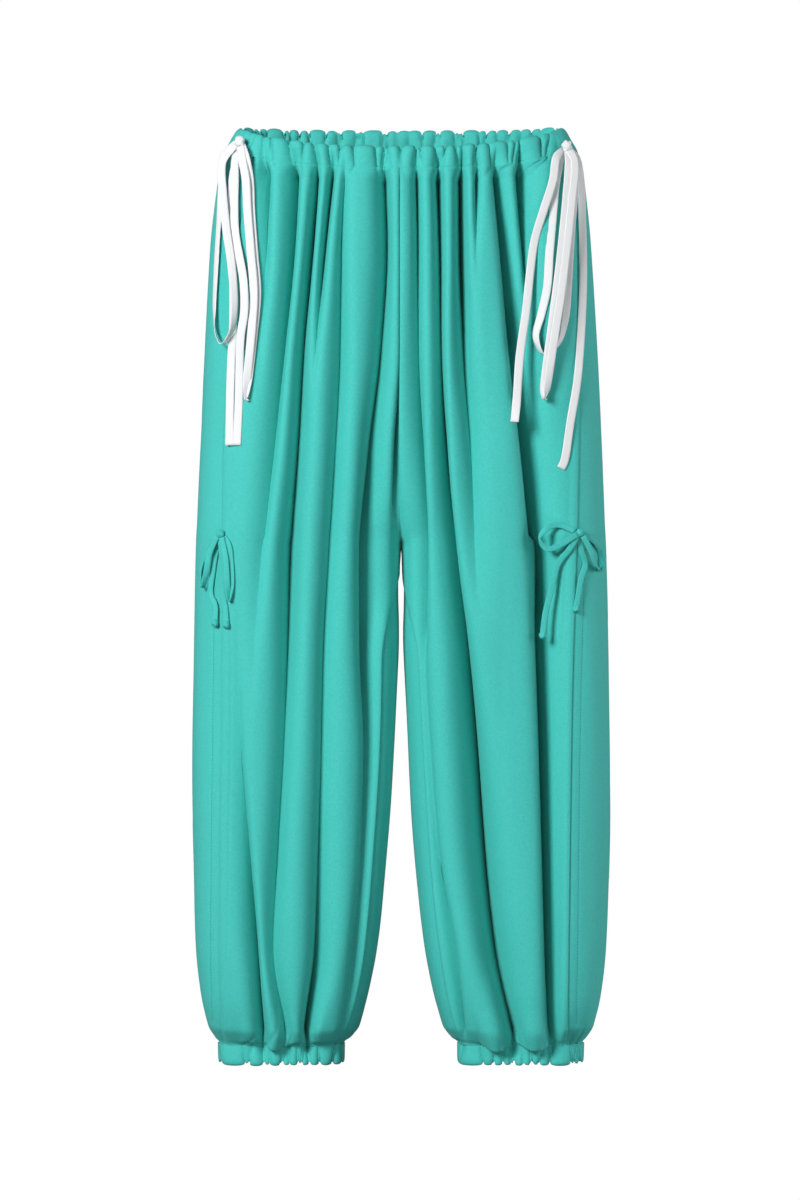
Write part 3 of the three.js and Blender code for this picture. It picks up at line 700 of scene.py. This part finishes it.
def shaped_sheet(name, grid_size, shape, material, thick=CLOTH, mirrored=False, offset=-1.0, ring=False):
    """A grid of columns by rows whose point (i, j) goes to shape(i, j), in metres; a ring's ends join."""
    columns, rows = grid_size
    bm = bmesh.new()
    bmesh.ops.create_grid(bm, x_segments=columns, y_segments=rows, size=0.5)
    uv = bm.loops.layers.uv.new("cloth")
    flat = {}
    for vert in bm.verts:
        i = round((vert.co.x + 0.5) * columns)
        j = round((0.5 - vert.co.y) * rows)
        vert.co = shape(i, j)
        flat[vert.index] = (i, j)
    for face in bm.faces:
        for loop in face.loops:
            i, j = flat[loop.vert.index]
            loop[uv].uv = (i * UV_COLUMN, j * UV_ROW)
        face.smooth = True
    if mirrored:
        bmesh.ops.reverse_faces(bm, faces=bm.faces)
    if ring:
        bmesh.ops.remove_doubles(bm, verts=bm.verts, dist=WELD)
    piece = new_piece(name, bm, material)
    wall = piece.modifiers.new("wall", "SOLIDIFY")
    wall.thickness = thick
    wall.offset = offset
    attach(piece, "root")
    return piece


print("cloth", round(CLOTH / MM, 2), "mm")

# %% [markdown]
# ## Leg panels
#
# Each leg has a front and a back, cut wide and gathered into the casing and the cuff. A panel is worked
# out row by row: the section at that drop, the columns along it, and the folds' relief at each column.
# The relief fades towards the seams, which pull the cloth flat, and the gathers of the casings run a
# little way into the panel. From the tie down, two lines of stitches make a channel by the side seam.

# %% Spacing of the columns
PANEL_COLUMNS = 150
SAMPLES = 260
CHANNEL_OFF = 9.5
CHANNEL_TOP = 450
CHANNEL_END = 993


def spaced(start, end, crowd, count):
    """Places from start to end, closer together where the crowd function is higher."""
    step = (end - start) / SAMPLES
    sums = [0.0]
    for n in range(SAMPLES):
        sums.append(sums[-1] + crowd(start + (n + 0.5) * step))
    places = []
    n = 0
    for i in range(count + 1):
        wanted = sums[-1] * i / count
        while n < SAMPLES - 1 and sums[n + 1] < wanted:
            n += 1
        places.append(start + (n + (wanted - sums[n]) / (sums[n + 1] - sums[n])) * step)
    return places


def crowd_of(valleys, seams):
    """Fine cloth needs more columns in a valley and beside a seam than on a ridge."""

    def crowd(across):
        total = 1.0
        for at, deep, *_ in valleys:
            total += 0.14 * deep * math.exp(-(((across - at) / 7) ** 2))
        for seam in seams:
            total += 2.2 * math.exp(-(((across - seam) / 5) ** 2))
        return total

    return crowd


print("columns", PANEL_COLUMNS)

# %% The folds near the seams
PANEL_ROWS = 250
TUCK = 1.5
ROW_DROPS = Along(
    [0, 0.05, 0.14, 0.78, 0.91, 1], [CASING_TALL - TUCK, 36, 90, 930, CUFF_TOP - 16, CUFF_TOP + TUCK]
)
TOP_CARRY = 0.75
SEAM_ROLL = 0.8
SEAM_WIDE = 2.4
SEAM_OUT = 3.6
SEAM_BLEND = 8.0
FORK_EASE = 140.0
FORK_SOFT = 1.6
FORK_FADE = 80.0
MIDDLE_KEEPS = 0.4
MIDDLE_LAP = 0.8
LAP_FADE = 15.0
WRINKLES = ((30, 240, 1.5, 0), (12, 120, 0.5, 7))
CHANNEL_DEEP = 0.5
CHANNEL_WIDE = 1.4
INNER_COLUMNS = 40
INNER_FROM = 12.0
SEAM_CROWD = 2.0
SEAM_REACH = 0.12
SIDE_CROWD = 0.8


def seam_roll(from_edge, drop):
    """Cloth rolls in to a seam and to the channel's stitches, in mm, by distance from the seam in mm."""
    roll = SEAM_ROLL * math.exp(-((from_edge / SEAM_WIDE) ** 2))
    if CHANNEL_TOP < drop < CHANNEL_END:
        roll += CHANNEL_DEEP * math.exp(-(((from_edge - CHANNEL_OFF) / CHANNEL_WIDE) ** 2))
    return -roll


def wrinkle(across, drop, seed):
    """Long soft wrinkles, about a millimetre, which run down the cloth."""
    total = 0.0
    for wide, tall, deep, shift in WRINKLES:
        total += deep * noise.noise(Vector((across / wide, drop / tall, seed + shift)))
    return total


def inner_edge(side, drop):
    """Where a front's edge to the inner leg is: the inseam leaves the crotch point gradually."""
    return INSEAM[side](drop) * smooth(clamp((drop - FORK) / FORK_EASE))


def lap_at(drop):
    """How far a panel's edge reaches over the middle: the lap ends soon below the crotch point."""
    return MIDDLE_LAP * smooth(clamp(1 - (drop - FORK) / LAP_FADE))


def blend_at(drop):
    """The width over which a fold fades towards the inner edge: wider near the crotch point."""
    return SEAM_BLEND * (1 + FORK_SOFT * smooth(clamp(1 - abs(drop - FORK) / FORK_EASE)))


def over_middle(drop):
    """How much of the folds' relief the middle seam keeps; an inseam keeps none of it."""
    return MIDDLE_KEEPS * smooth(clamp((FORK - drop) / FORK_FADE))


def front_row(side, drop):
    """The angle, relief and distances from both seams of each column of a front at one drop."""
    shape = section(drop)
    seam = SIDE_SEAM[side](drop) - SEAM / 2
    inner = inner_edge(side, drop) - lap_at(drop)
    valleys = valleys_at(FRONT_CURVES[side], drop)
    crowd = crowd_of(valleys, (seam, seam - CHANNEL_OFF, inner))
    row = []
    for across in spaced(seam, inner, crowd, PANEL_COLUMNS):
        from_seam, from_inner = seam - across, across - inner
        ends = clamp(from_seam / SEAM_BLEND) * clamp(over_middle(drop) + from_inner / blend_at(drop))
        out = mix(SEAM_OUT, fold_relief(across, valleys), smooth(ends))
        row.append((angle_at(across, shape, True), out, from_seam, from_inner))
    return shape, row


def back_row(side, drop):
    """The same for a back, which turns round the side; its folds are placed by the unrolled distance."""
    shape = section(drop)
    middle, half, _ = shape
    start = angle_at(SIDE_SEAM[side](drop) + SEAM / 2, shape, True)
    if drop < FORK:
        end = angle_at(-MIDDLE_LAP, shape, False)
    else:
        end = 2 * math.pi + angle_at(inner_edge(side, drop) - SEAM / 2, shape, True)
    valleys = valleys_at(BACK_CURVES, drop, BACK_DEPTH)

    def unrolled(angle):
        across = middle + half * power(math.cos(angle), 2 / ROUNDNESS)
        if angle < 0:
            return 2 * (middle + half) - across
        return 2 * (middle - half) - across if angle > math.pi else across

    def crowd(angle):
        near_seam = SEAM_CROWD * math.exp(-(((angle - start) / SEAM_REACH) ** 2))
        return 1 + near_seam + SIDE_CROWD * abs(math.cos(angle)) ** 8

    row = []
    middle_back = angle_at(max(middle - half, 0) + INNER_FROM, shape, False)
    outer = spaced(start, middle_back, crowd, PANEL_COLUMNS - INNER_COLUMNS)
    for angle in outer[:-1] + spaced(middle_back, end, crowd, INNER_COLUMNS):
        across = unrolled(angle)
        from_seam, from_end = unrolled(start) - across, across - unrolled(end)
        ends = clamp(from_seam / (3 * SEAM_BLEND)) * clamp(over_middle(drop) + from_end / blend_at(drop))
        out = mix(SEAM_OUT, fold_relief(across, valleys), smooth(ends))
        row.append((angle, out, from_seam, from_end))
    return shape, row


print("panel rows", PANEL_ROWS)

# %% Leg panels
WAIST_OUT = 2.4
CUFF_OUT = 1.0
WAIST_PUFFS = 1.1
CUFF_PUFFS = 1.2
TOP_FADE = 26
CUFF_FADE = 20
BACK_SHIFT = 500
WRINKLE_FROM = 20
SEEDS = {"front_left": 3, "front_right": 11, "back_left": 43, "back_right": 51}


def leg_panel(side, part):
    """One of the four leg panels, and its channel stitches."""
    sign = -1 if side == "left" else 1
    row_at = front_row if part == "front" else back_row
    seed = SEEDS[f"{part}_{side}"]
    drops = [ROW_DROPS(j / PANEL_ROWS) for j in range(PANEL_ROWS + 1)]
    grid = []
    for drop in drops:
        around, row = row_at(side, drop)
        grid.append([(*body(angle, drop, around), math.sin(angle), *rest) for angle, *rest in row])

    def shape(i, j):
        point, normal, sine, out, from_seam, from_end = grid[j][i]
        drop = drops[j]
        below, above = drop - CASING_TALL, CUFF_TOP - drop
        end_out, rise, carry = WAIST_OUT, below / NEAR_WAIST, TOP_CARRY
        if above < below:
            end_out, rise, carry = CUFF_OUT, above / NEAR_CUFF, TOP_CARRY * in_front(sine)
        out = mix(end_out + carry * (out - LIFT), out, smooth(clamp(rise)))
        fade = 1 + 0.4 * math.sin(i * 0.21)
        top = waist_puff(side, grid[0][i][0].x, sine < 0, 1)
        foot = cuff_puff(side, grid[-1][i][0].x, sine, 0)
        out += WAIST_PUFFS * top * math.exp(-below / (TOP_FADE * fade))
        out += CUFF_PUFFS * foot * math.exp(-above / (CUFF_FADE * fade))
        strip_at = point.x + (0 if sine < 0 else BACK_SHIFT)
        out += wrinkle(strip_at, drop, seed) * clamp(min(from_seam, from_end) / WRINKLE_FROM)
        out += seam_roll(from_seam, drop) + seam_roll(from_end, 0)
        out -= clamp(-min(below, above) / TUCK)
        stands, drifts, hangs = pouch(side, point.x, sine, above)
        push = normal * (out + stands)
        if push.x < 0 and drop > FORK:
            push.x *= smooth(clamp((drop - FORK) / FORK_EASE))
        placed = point + push + Vector((drifts * sign, 0, -hangs))
        placed.x = max(placed.x, SEAM / 2 if drop > FORK else -MIDDLE_LAP)
        return Vector((placed.x * sign, placed.y, placed.z)) * MM

    name = f"{part}_{side}_jersey"
    piece = shaped_sheet(name, (PANEL_COLUMNS, PANEL_ROWS), shape, jersey, mirrored=(side == "left"))
    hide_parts(f"{part}_{side}_leg")
    channel = []
    for j in range(PANEL_ROWS + 1):
        if not CHANNEL_TOP < drops[j] < CHANNEL_END:
            continue
        away = [cell[4] for cell in grid[j]]
        i = next(k for k in range(PANEL_COLUMNS) if away[k] <= CHANNEL_OFF < away[k + 1])
        share = (CHANNEL_OFF - away[i]) / (away[i + 1] - away[i])
        normal = grid[j][i][1]
        place = shape(i, j).lerp(shape(i + 1, j), share)
        channel.append((place, Vector((normal.x * sign, normal.y, 0))))
    return piece, stitches(f"{name}_channel_stitches", channel)


for side in SIDES:
    for part in ("front", "back"):
        panel, sewn = leg_panel(side, part)
        print(panel.name, len(panel.data.polygons), "faces")

# %% [markdown]
# ## Casings
#
# The waist and the cuffs are strips of the same jersey folded over and stitched down. The waist's
# strip holds the ribbon and the cuffs' strips hold elastic, and both draw the cloth into puffs. The
# profile goes up the outer side, over the fold and down the inner side.

# %% Casing profile
CASING_PROFILE = {
    "down": (1.0, 0.97, 0.9, 0.7, 0.45, 0.22, 0.07, 0.0, 0.05, 0.3, 0.7, 1.0),
    "out": (2.4, 2.1, 2.3, 2.5, 2.8, 2.7, 1.9, 0.6, -0.8, -2.4, -2.2, -1.0),
    "wave": (1.1, 1.2, 1.4, 2.0, 2.8, 3.3, 2.9, 1.4, -0.6, -2.4, -2.2, -0.9),
}
PROFILE_STEPS = 24
PROFILE_POINTS = range(len(CASING_PROFILE["down"]))
PROFILE = {name: Along(PROFILE_POINTS, column) for name, column in CASING_PROFILE.items()}
RIM_SCALLOP = 1.8
RIM_KEEPS = 0.1
SIDE_CALM = 2.5
CASING_WALL = 1.0 * MM
STITCH_STEP = 2
BELOW_WAIST = 0.4


def casing_point(angle, wave_at, fold_at, sign, top, tall, fold_up, share, puffed=1.0):
    """A point of a casing; fold_up is True where the cloth folds over at the top, as at the waist."""
    at = share * PROFILE_POINTS[-1]
    down = PROFILE["down"](at)
    drop = top + tall * (down if fold_up else 1 - down)
    point, normal = body(angle, drop, section(drop))
    wave = wave_at(point.x, down) * clamp(SIDE_CALM * abs(math.sin(angle)))
    fold = TOP_CARRY * fold_at(point.x) * mix(RIM_KEEPS, 1, smooth(down))
    out = PROFILE["out"](at) * puffed + wave * PROFILE["wave"](at) + fold
    placed = point + normal * out
    placed.z += wave * RIM_SCALLOP * (1 - down) ** 3 * (1 if fold_up else -1)
    return Vector((placed.x * sign, placed.y, placed.z)) * MM


def outward(place, middle, shape):
    """The level direction out of an oval section about a middle, in mm, at a place in metres."""
    _, half, deep = shape
    return Vector(((place.x / MM - middle) / half**2, place.y / MM / deep**2, 0)).normalized()


print("profile", len(PROFILE_POINTS), "points")

# %% Waist casing
WAIST_COLUMNS = 420
ENDS_STEEP = 10


def waist_half(front):
    """Half of the waist casing, from the left side seam to the right one, and its stitches."""
    middle = -math.pi / 2 if front else math.pi / 2
    curves = FRONT_CURVES if front else {"left": BACK_CURVES, "right": BACK_CURVES}
    depth = FRONT_DEPTH if front else BACK_DEPTH
    valleys = {side: valleys_at(curves[side], CASING_TALL + BELOW_WAIST, depth) for side in SIDES}

    def shape(i, j):
        across = i / WAIST_COLUMNS
        side, sign = ("left", -1) if across < 0.5 else ("right", 1)
        reach = SIDE_SEAM[side](CASING_TALL / 2) + (-SEAM / 2 if front else SEAM / 2)
        limit = angle_at(reach, section(0), True)
        angle = mix(middle, limit, abs(1 - 2 * across))
        ends = clamp(ENDS_STEEP * (0.5 - abs(across - 0.5)))

        def wave_at(away, down):
            return waist_puff(side, away, math.sin(angle) < 0, down) * ends

        def fold_at(away):
            return (fold_relief(away, valleys[side]) - LIFT) * ends

        return casing_point(angle, wave_at, fold_at, sign, 0, CASING_TALL, True, j / PROFILE_STEPS)

    part = "front" if front else "back"
    name = f"waist_casing_{part}"
    size = (WAIST_COLUMNS, PROFILE_STEPS)
    piece = shaped_sheet(name, size, shape, jersey, thick=CASING_WALL, mirrored=not front)
    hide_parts(f"waistband_{part}")
    line = [shape(i, STITCH_STEP) for i in range(WAIST_COLUMNS + 1)]
    faced = [(place, outward(place, 0, section(0))) for place in line]
    return piece, stitches(f"{name}_stitches", faced)


for part in ("front", "back"):
    casing, sewn = waist_half(part == "front")
    print(casing.name, len(casing.data.polygons), "faces")


# %% Cuffs
CUFF_COLUMNS = 400
CUFF_INSET = 0.8
CUFF_PUFFED = 0.45


def cuff(side):
    """A gathered cuff, all round one ankle, and its stitches."""
    sign = -1 if side == "left" else 1
    top = CUFF_TOP + SEAM
    valleys = valleys_at(FRONT_CURVES[side], CUFF_TOP - SEAM)

    def shape(i, j):
        angle = math.tau * (i % CUFF_COLUMNS) / CUFF_COLUMNS

        def wave_at(away, down):
            return cuff_puff(side, away, math.sin(angle), 1 - down) * CUFF_INSET

        def fold_at(away):
            return (fold_relief(away, valleys) - LIFT) * in_front(math.sin(angle))

        share = j / PROFILE_STEPS
        return casing_point(angle, wave_at, fold_at, sign, top, CUFF_TALL, False, share, CUFF_PUFFED)

    name = f"cuff_casing_{side}"
    turned = side == "right"
    size = (CUFF_COLUMNS, PROFILE_STEPS)
    piece = shaped_sheet(name, size, shape, jersey, thick=CASING_WALL, mirrored=turned, ring=True)
    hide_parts(f"cuff_{side}")
    line = [shape(i, STITCH_STEP) for i in range(CUFF_COLUMNS + 1)]
    ankle = section(CUFF_TOP)
    faced = [(place, outward(place, ankle[0] * sign, ankle)) for place in line]
    return piece, stitches(f"{name}_stitches", faced)


for side in SIDES:
    casing, sewn = cuff(side)
    print(casing.name, len(casing.data.polygons), "faces")

# %% [markdown]
# ## Ribbons and ties
#
# A bow is one length of tape: two loops and two tails that leave a knot. Each is a flat strip whose
# route is a short list of rows. A row is (distance from the centre line, drop, distance off the cloth,
# turn of the tape if it has one), in mm and degrees. "leaves" and "returns" are an end's
# direction at the knot, in degrees from straight down, and its layer in the knot, in mm. The strip
# keeps its flat side to the cloth, and turns on edge where the tape folds back on itself.

# %% Routes
RIBBON = {"wide": 9.5, "thick": 0.6}
TIE = {"wide": 6.5, "thick": 1.4}
END_GAP = 0.45
BOWS = {
    "left": {
        "knot": {"from": 174, "drop": -9, "off": 10.2, "radius": 6.5, "deep": 5.5},
        "loop_open": {"leaves": (75, -2.4), "returns": (45, 4), "rows": [
            (192, 6, 7.5), (196, 35, 5.5), (200, 80, 5, 30), (203, 130, 5, 30), (205, 180, 5, 40),
            (202, 208, 8, 70), (193, 222, 10.5, 90), (184, 208, 10.5, 70), (181, 180, 10.5, 40),
            (183, 130, 13, 20), (188, 90, 12.5, 20), (191, 50, 12, 20), (189, 14, 14.5),
        ]},
        "loop_narrow": {"leaves": (-38, 0.9), "returns": (-30, 2.5), "rows": [
            (169, 10, 10.2), (168, 35, 5), (167, 70, 4), (164, 117, 4), (161, 165, 4), (165, 220, 4),
            (169, 262, 4, 20), (171, 286, 5, 90), (169.5, 262, 7, 20), (166, 220, 7), (163, 165, 7),
            (166, 117, 7), (169, 70, 7.5), (170, 35, 9), (172, 10, 12),
        ]},
        "tail_long": {"leaves": (10, -0.6), "rows": [
            (181, 12, 7.6), (182, 35, 7), (183, 65, 6.5), (182, 95, 7), (172, 150, 10.5),
            (171, 185, 10.5), (176, 215, 8), (179, 250, 4), (180, 290, 4), (182, 337, 4),
        ]},
        "tail_under": {"leaves": (0, -4), "rows": [
            (182, 14, 4.5), (187, 40, 3.5), (187, 90, 3.5), (186, 150, 3.5), (186, 200, 3.5),
            (187, 240, 5.5), (188, 280, 6), (189, 337, 6),
        ]},
    },
    "right": {
        "knot": {"from": 179, "drop": -4, "off": 9.6, "radius": 6.5, "deep": 5.5},
        "loop_open": {"leaves": (-15, -4), "returns": (15, 0.8), "rows": [
            (175, 12, 6.5), (171, 40, 5), (168, 80, 4, 15), (165, 120, 4, 20), (163, 160, 4, 20),
            (158, 190, 4, 30), (152, 214, 5, 50), (160, 234, 8, 90), (173, 224, 8, 60), (180, 195, 8, 20),
            (183, 150, 8), (186, 90, 8), (188, 45, 9.5), (185, 14, 11),
        ]},
        "loop_narrow": {"leaves": (0, 2.4), "returns": (5, 4), "rows": [
            (180, 14, 13), (178, 60, 13), (174, 120, 11), (169, 170, 11), (165, 210, 12.5),
            (162, 245, 12), (160, 275, 9, 30), (160, 285, 10.5, 90), (162, 272, 13.5, 30), (165, 240, 15),
            (168, 205, 16.5), (173, 165, 14.5), (178, 120, 14), (182, 60, 16), (184, 14, 15.5),
        ]},
        "tail_front": {"leaves": (-35, -0.8), "rows": [
            (169, 10, 10.5), (166, 37, 9.5), (158, 70, 7.5), (151, 105, 5), (146, 140, 5), (141, 184, 6),
            (133, 240, 8), (130, 285, 9), (127, 311, 10, 20),
        ]},
        "tail_side": {"leaves": (40, -2.4), "rows": [
            (190, 8, 7.5), (197, 32, 5), (200, 82, 4), (201, 150, 4), (199, 206, 4), (195, 263, 4),
            (189, 309, 4), (184, 354, 4), (181, 363, 4),
        ]},
    },
}
THIGH_TIES = {
    "left": {
        "knot": {"from": 199, "drop": 437, "off": 5, "radius": 5, "deep": 4.6},
        "loop_outer": {"leaves": (65, -2.2), "returns": (40, 3.6), "rows": [
            (213, 455, 4.5), (220, 478, 5.5, 30), (216, 497, 8, 90), (211, 480, 9.5, 30), (208, 460, 9.5),
        ]},
        "loop_inner": {"leaves": (-50, -0.8), "returns": (-35, 2.2), "rows": [
            (191, 449, 4.5), (189, 465, 4), (188, 495, 4, 20), (190, 513, 5.5, 90), (191, 495, 7.5, 20),
            (192.5, 465, 8),
        ]},
        "tail_outer": {"leaves": (25, -3.6), "rows": [
            (205, 455, 2.2), (209, 480, 2.5), (211, 505, 3), (206, 518, 3.5), (206, 538, 4),
        ]},
        "tail_inner": {"leaves": (-5, 0.7), "rows": [
            (198, 458, 5), (198, 480, 4), (197.5, 505, 4), (195, 521, 4), (194, 540, 4),
        ]},
    },
    "right": {
        "knot": {"from": 198, "drop": 436, "off": 5, "radius": 5, "deep": 4.6},
        "loop_inner": {"leaves": (-110, -0.8), "returns": (-75, 2.2), "rows": [
            (178, 427, 3.5), (165, 431, 4), (156, 443, 5, 90), (165, 454, 6.5), (178, 450, 8),
        ]},
        "loop_outer": {"leaves": (75, -2.2), "returns": (35, 3.6), "rows": [
            (214, 446, 3.5), (221, 462, 4.5, 30), (219, 478, 5.5, 90), (212, 470, 7.5, 30),
            (207, 457, 8.5),
        ]},
        "tail_inner": {"leaves": (-40, 0.7), "rows": [
            (188, 455, 5.5), (178, 470, 4.5), (170, 500, 4), (163, 528, 4), (160, 552, 4),
        ]},
        "tail_outer": {"leaves": (12, -3.6), "rows": [
            (201, 455, 2.2), (205, 470, 2.6), (200, 487, 4), (197, 508, 4), (195, 522, 4),
        ]},
    },
}
print("routes", sum(len(bow) - 1 for bow in (*BOWS.values(), *THIGH_TIES.values())))


# %% A place on the cloth
BRIDGED = 4
EDGE_SHARE = 0.985
EDGE_ROUNDS = 6


def relief_at(side, across, drop):
    """The folds' relief that a hanging tape follows: it bridges the deep valleys."""
    return clamp(fold_relief(across, valleys_at(FRONT_CURVES[side], drop)), -BRIDGED, BRIDGED)


def on_cloth(side, across, drop, off):
    """A point that lies off the cloth by a distance, and the cloth's normal there, in mm."""
    level_drop = drop
    for _ in range(EDGE_ROUNDS):
        shape = section(level_drop)
        edge = OUT(level_drop) * EDGE_SHARE
        point, normal = body(angle_at(min(across, edge), shape, True), level_drop, shape)
        level_drop = max(level_drop + point.z + drop, 0)
    edge = OUT(level_drop) * EDGE_SHARE
    point = point + normal * (off + relief_at(side, across, level_drop))
    sign = -1 if side == "left" else 1
    place = Vector(((point.x + max(across - edge, 0)) * sign, point.y, -drop))
    return place, Vector((normal.x * sign, normal.y, 0))


def knot_end(side, middle, leave, thick):
    """Where a strip's end meets its knot, just clear of the knot's surface."""
    degrees, layer = leave
    point, normal = on_cloth(side, middle["from"], middle["drop"], middle["off"])
    away = math.radians(degrees)
    across = Vector((-normal.y, normal.x, 0)) * (-1 if side == "left" else 1)
    direction = across * math.sin(away) + Vector((0, 0, -math.cos(away)))
    near = max(abs(layer) - thick / 2, 0) / middle["deep"]
    reach = middle["radius"] * math.sqrt(max(1 - near**2, 0)) + END_GAP
    return point + normal * layer + direction * reach, normal


print("a tape bridges valleys deeper than", BRIDGED, "mm")


# %% A strip along a smooth route
STEP = 3.0
ACROSS = 6
FACE_FRONT = 0.5
CUPPED = 0.25


def spline(points):
    """A centripetal Catmull-Rom curve through the points: places with their row position."""
    ends = [points[0] * 2 - points[1], *points, points[-1] * 2 - points[-2]]
    found = []
    for k in range(len(points) - 1):
        before, a, b, after = ends[k : k + 4]
        d0, d1, d2 = [max((q - p).length, 0.01) ** 0.5 for p, q in ((before, a), (a, b), (b, after))]
        m1 = ((a - before) / d0 - (b - before) / (d0 + d1) + (b - a) / d1) * d1
        m2 = ((b - a) / d1 - (after - a) / (d1 + d2) + (after - b) / d2) * d1
        steps = max(2, math.ceil((b - a).length / STEP))
        for s in range(steps):
            t = s / steps
            place = a * (2 * t**3 - 3 * t**2 + 1) + m1 * (t**3 - 2 * t**2 + t)
            place += b * (3 * t**2 - 2 * t**3) + m2 * (t**3 - t**2)
            found.append((place, k + t))
    found.append((points[-1].copy(), len(points) - 1.0))
    return found


def strip(name, side, middle, route, tape, material):
    """A flat strip of tape along a route, and the points of its middle line in metres."""
    wide, thick = tape["wide"], tape["thick"]
    places = [on_cloth(side, *row[:3]) for row in route["rows"]]
    turns = [0, *[row[3] if len(row) > 3 else 0 for row in route["rows"]]]
    places.insert(0, knot_end(side, middle, route["leaves"], thick))
    if "returns" in route:
        places.append(knot_end(side, middle, route["returns"], thick))
        turns.append(0)
    line = spline([place for place, _ in places])
    wides = []
    for n, (place, row) in enumerate(line):
        k = min(int(row), len(places) - 2)
        facing = places[k][1].lerp(places[k + 1][1], row - k).lerp(Vector((0, -1, 0)), FACE_FRONT)
        tangent = (line[min(n + 1, len(line) - 1)][0] - line[max(n - 1, 0)][0]).normalized()
        flat = tangent.cross(facing).normalized()
        turn = math.radians(mix(turns[k], turns[k + 1], row - k))
        wides.append((Matrix.Rotation(turn, 3, tangent) @ flat, tangent))

    def shape(i, j):
        place, (flat, tangent) = line[j][0], wides[j]
        share = i / ACROSS - 0.5
        bow = tangent.cross(flat) * (CUPPED * (4 * share * share - 0.4))
        return (place + flat * (wide * share) + bow) * MM

    size = (ACROSS, len(line) - 1)
    piece = shaped_sheet(name, size, shape, material, thick=thick * MM, offset=0.0)
    for corner in piece.data.uv_layers[0].data:
        corner.uv = (corner.uv[0] * wide / ACROSS / UV_COLUMN, corner.uv[1] * STEP / UV_ROW)
    return piece, [place * MM for place, _ in line]


def path_length(path):
    return sum((b - a).length for a, b in zip(path, path[1:]))


print("a strip has", ACROSS, "columns")

# %% [markdown]
# ## Knots
#
# A knot is the tape wrapped round itself and pulled tight: a soft lump, flatter towards the cloth,
# with the folds of the tape running over it. The small knots near a tie's free ends are the same.


# %% Knots
KNOT_SEGMENTS = 32
KNOT_RINGS = 20
FOLD_DEEP = 0.1
SLANT_DEEP = 0.07


def lump(name, place, normal, radius, deep, material, folds=5):
    """A knot: a soft lump with the folds of the tape running over it."""
    bm = bmesh.new()
    bmesh.ops.create_uvsphere(bm, u_segments=KNOT_SEGMENTS, v_segments=KNOT_RINGS, radius=1)
    for vert in bm.verts:
        x, y, z = vert.co
        around = math.atan2(z, x)
        crease = FOLD_DEEP * math.cos(folds * around + 2.2 * y) * (1 - 0.4 * y * y)
        slant = SLANT_DEEP * math.sin(5 * (x + 0.6 * z) + 1.0)
        swell = 1 + crease + slant
        vert.co = Vector((x * radius * swell, y * deep * swell, z * radius * swell)) * MM
    turn = Matrix.Rotation(math.atan2(normal.y, normal.x) - math.pi / 2, 4, "Z")
    bmesh.ops.transform(bm, matrix=Matrix.Translation(place * MM) @ turn, verts=bm.verts)
    for face in bm.faces:
        face.smooth = True
    piece = new_piece(name, bm, material)
    piece.data.uv_layers.new(name="cloth")
    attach(piece, "root")
    return piece


print("a knot has", KNOT_SEGMENTS * (KNOT_RINGS - 1) + 2, "vertices")

# %% Bows
END_KNOT = {"radius": 4.3, "deep": 4.0}


def tie_bow(prefix, side, bow, tape, material):
    """A bow: its knot, and its loops and tails as strips of tape."""
    middle = bow["knot"]
    place, normal = on_cloth(side, middle["from"], middle["drop"], middle["off"])
    knot = lump(f"{prefix}_{side}_wrapped_knot", place, normal, middle["radius"], middle["deep"], material)
    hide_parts(f"{prefix}_{side}_knot")
    for part, route in bow.items():
        if part == "knot":
            continue
        piece, path = strip(f"{prefix}_{side}_{part}_strip", side, middle, route, tape, material)
        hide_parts(f"{prefix}_{side}_{part}")
        far = "object" if "returns" in route else "bare"
        if far == "bare" and prefix == "thigh_tie":
            far = "knot"
            end = lump(f"{piece.name}_end", path[-1] / MM, normal, **END_KNOT, material=material, folds=3)
        tuple(path[0])
        round(path_length(path), 3)
        [tuple(p) for p in path]
        print(piece.name, round(path_length(path), 3), "m")


for side in SIDES:
    tie_bow("ribbon", side, BOWS[side], RIBBON, cotton)
    tie_bow("thigh_tie", side, THIGH_TIES[side], TIE, jersey)
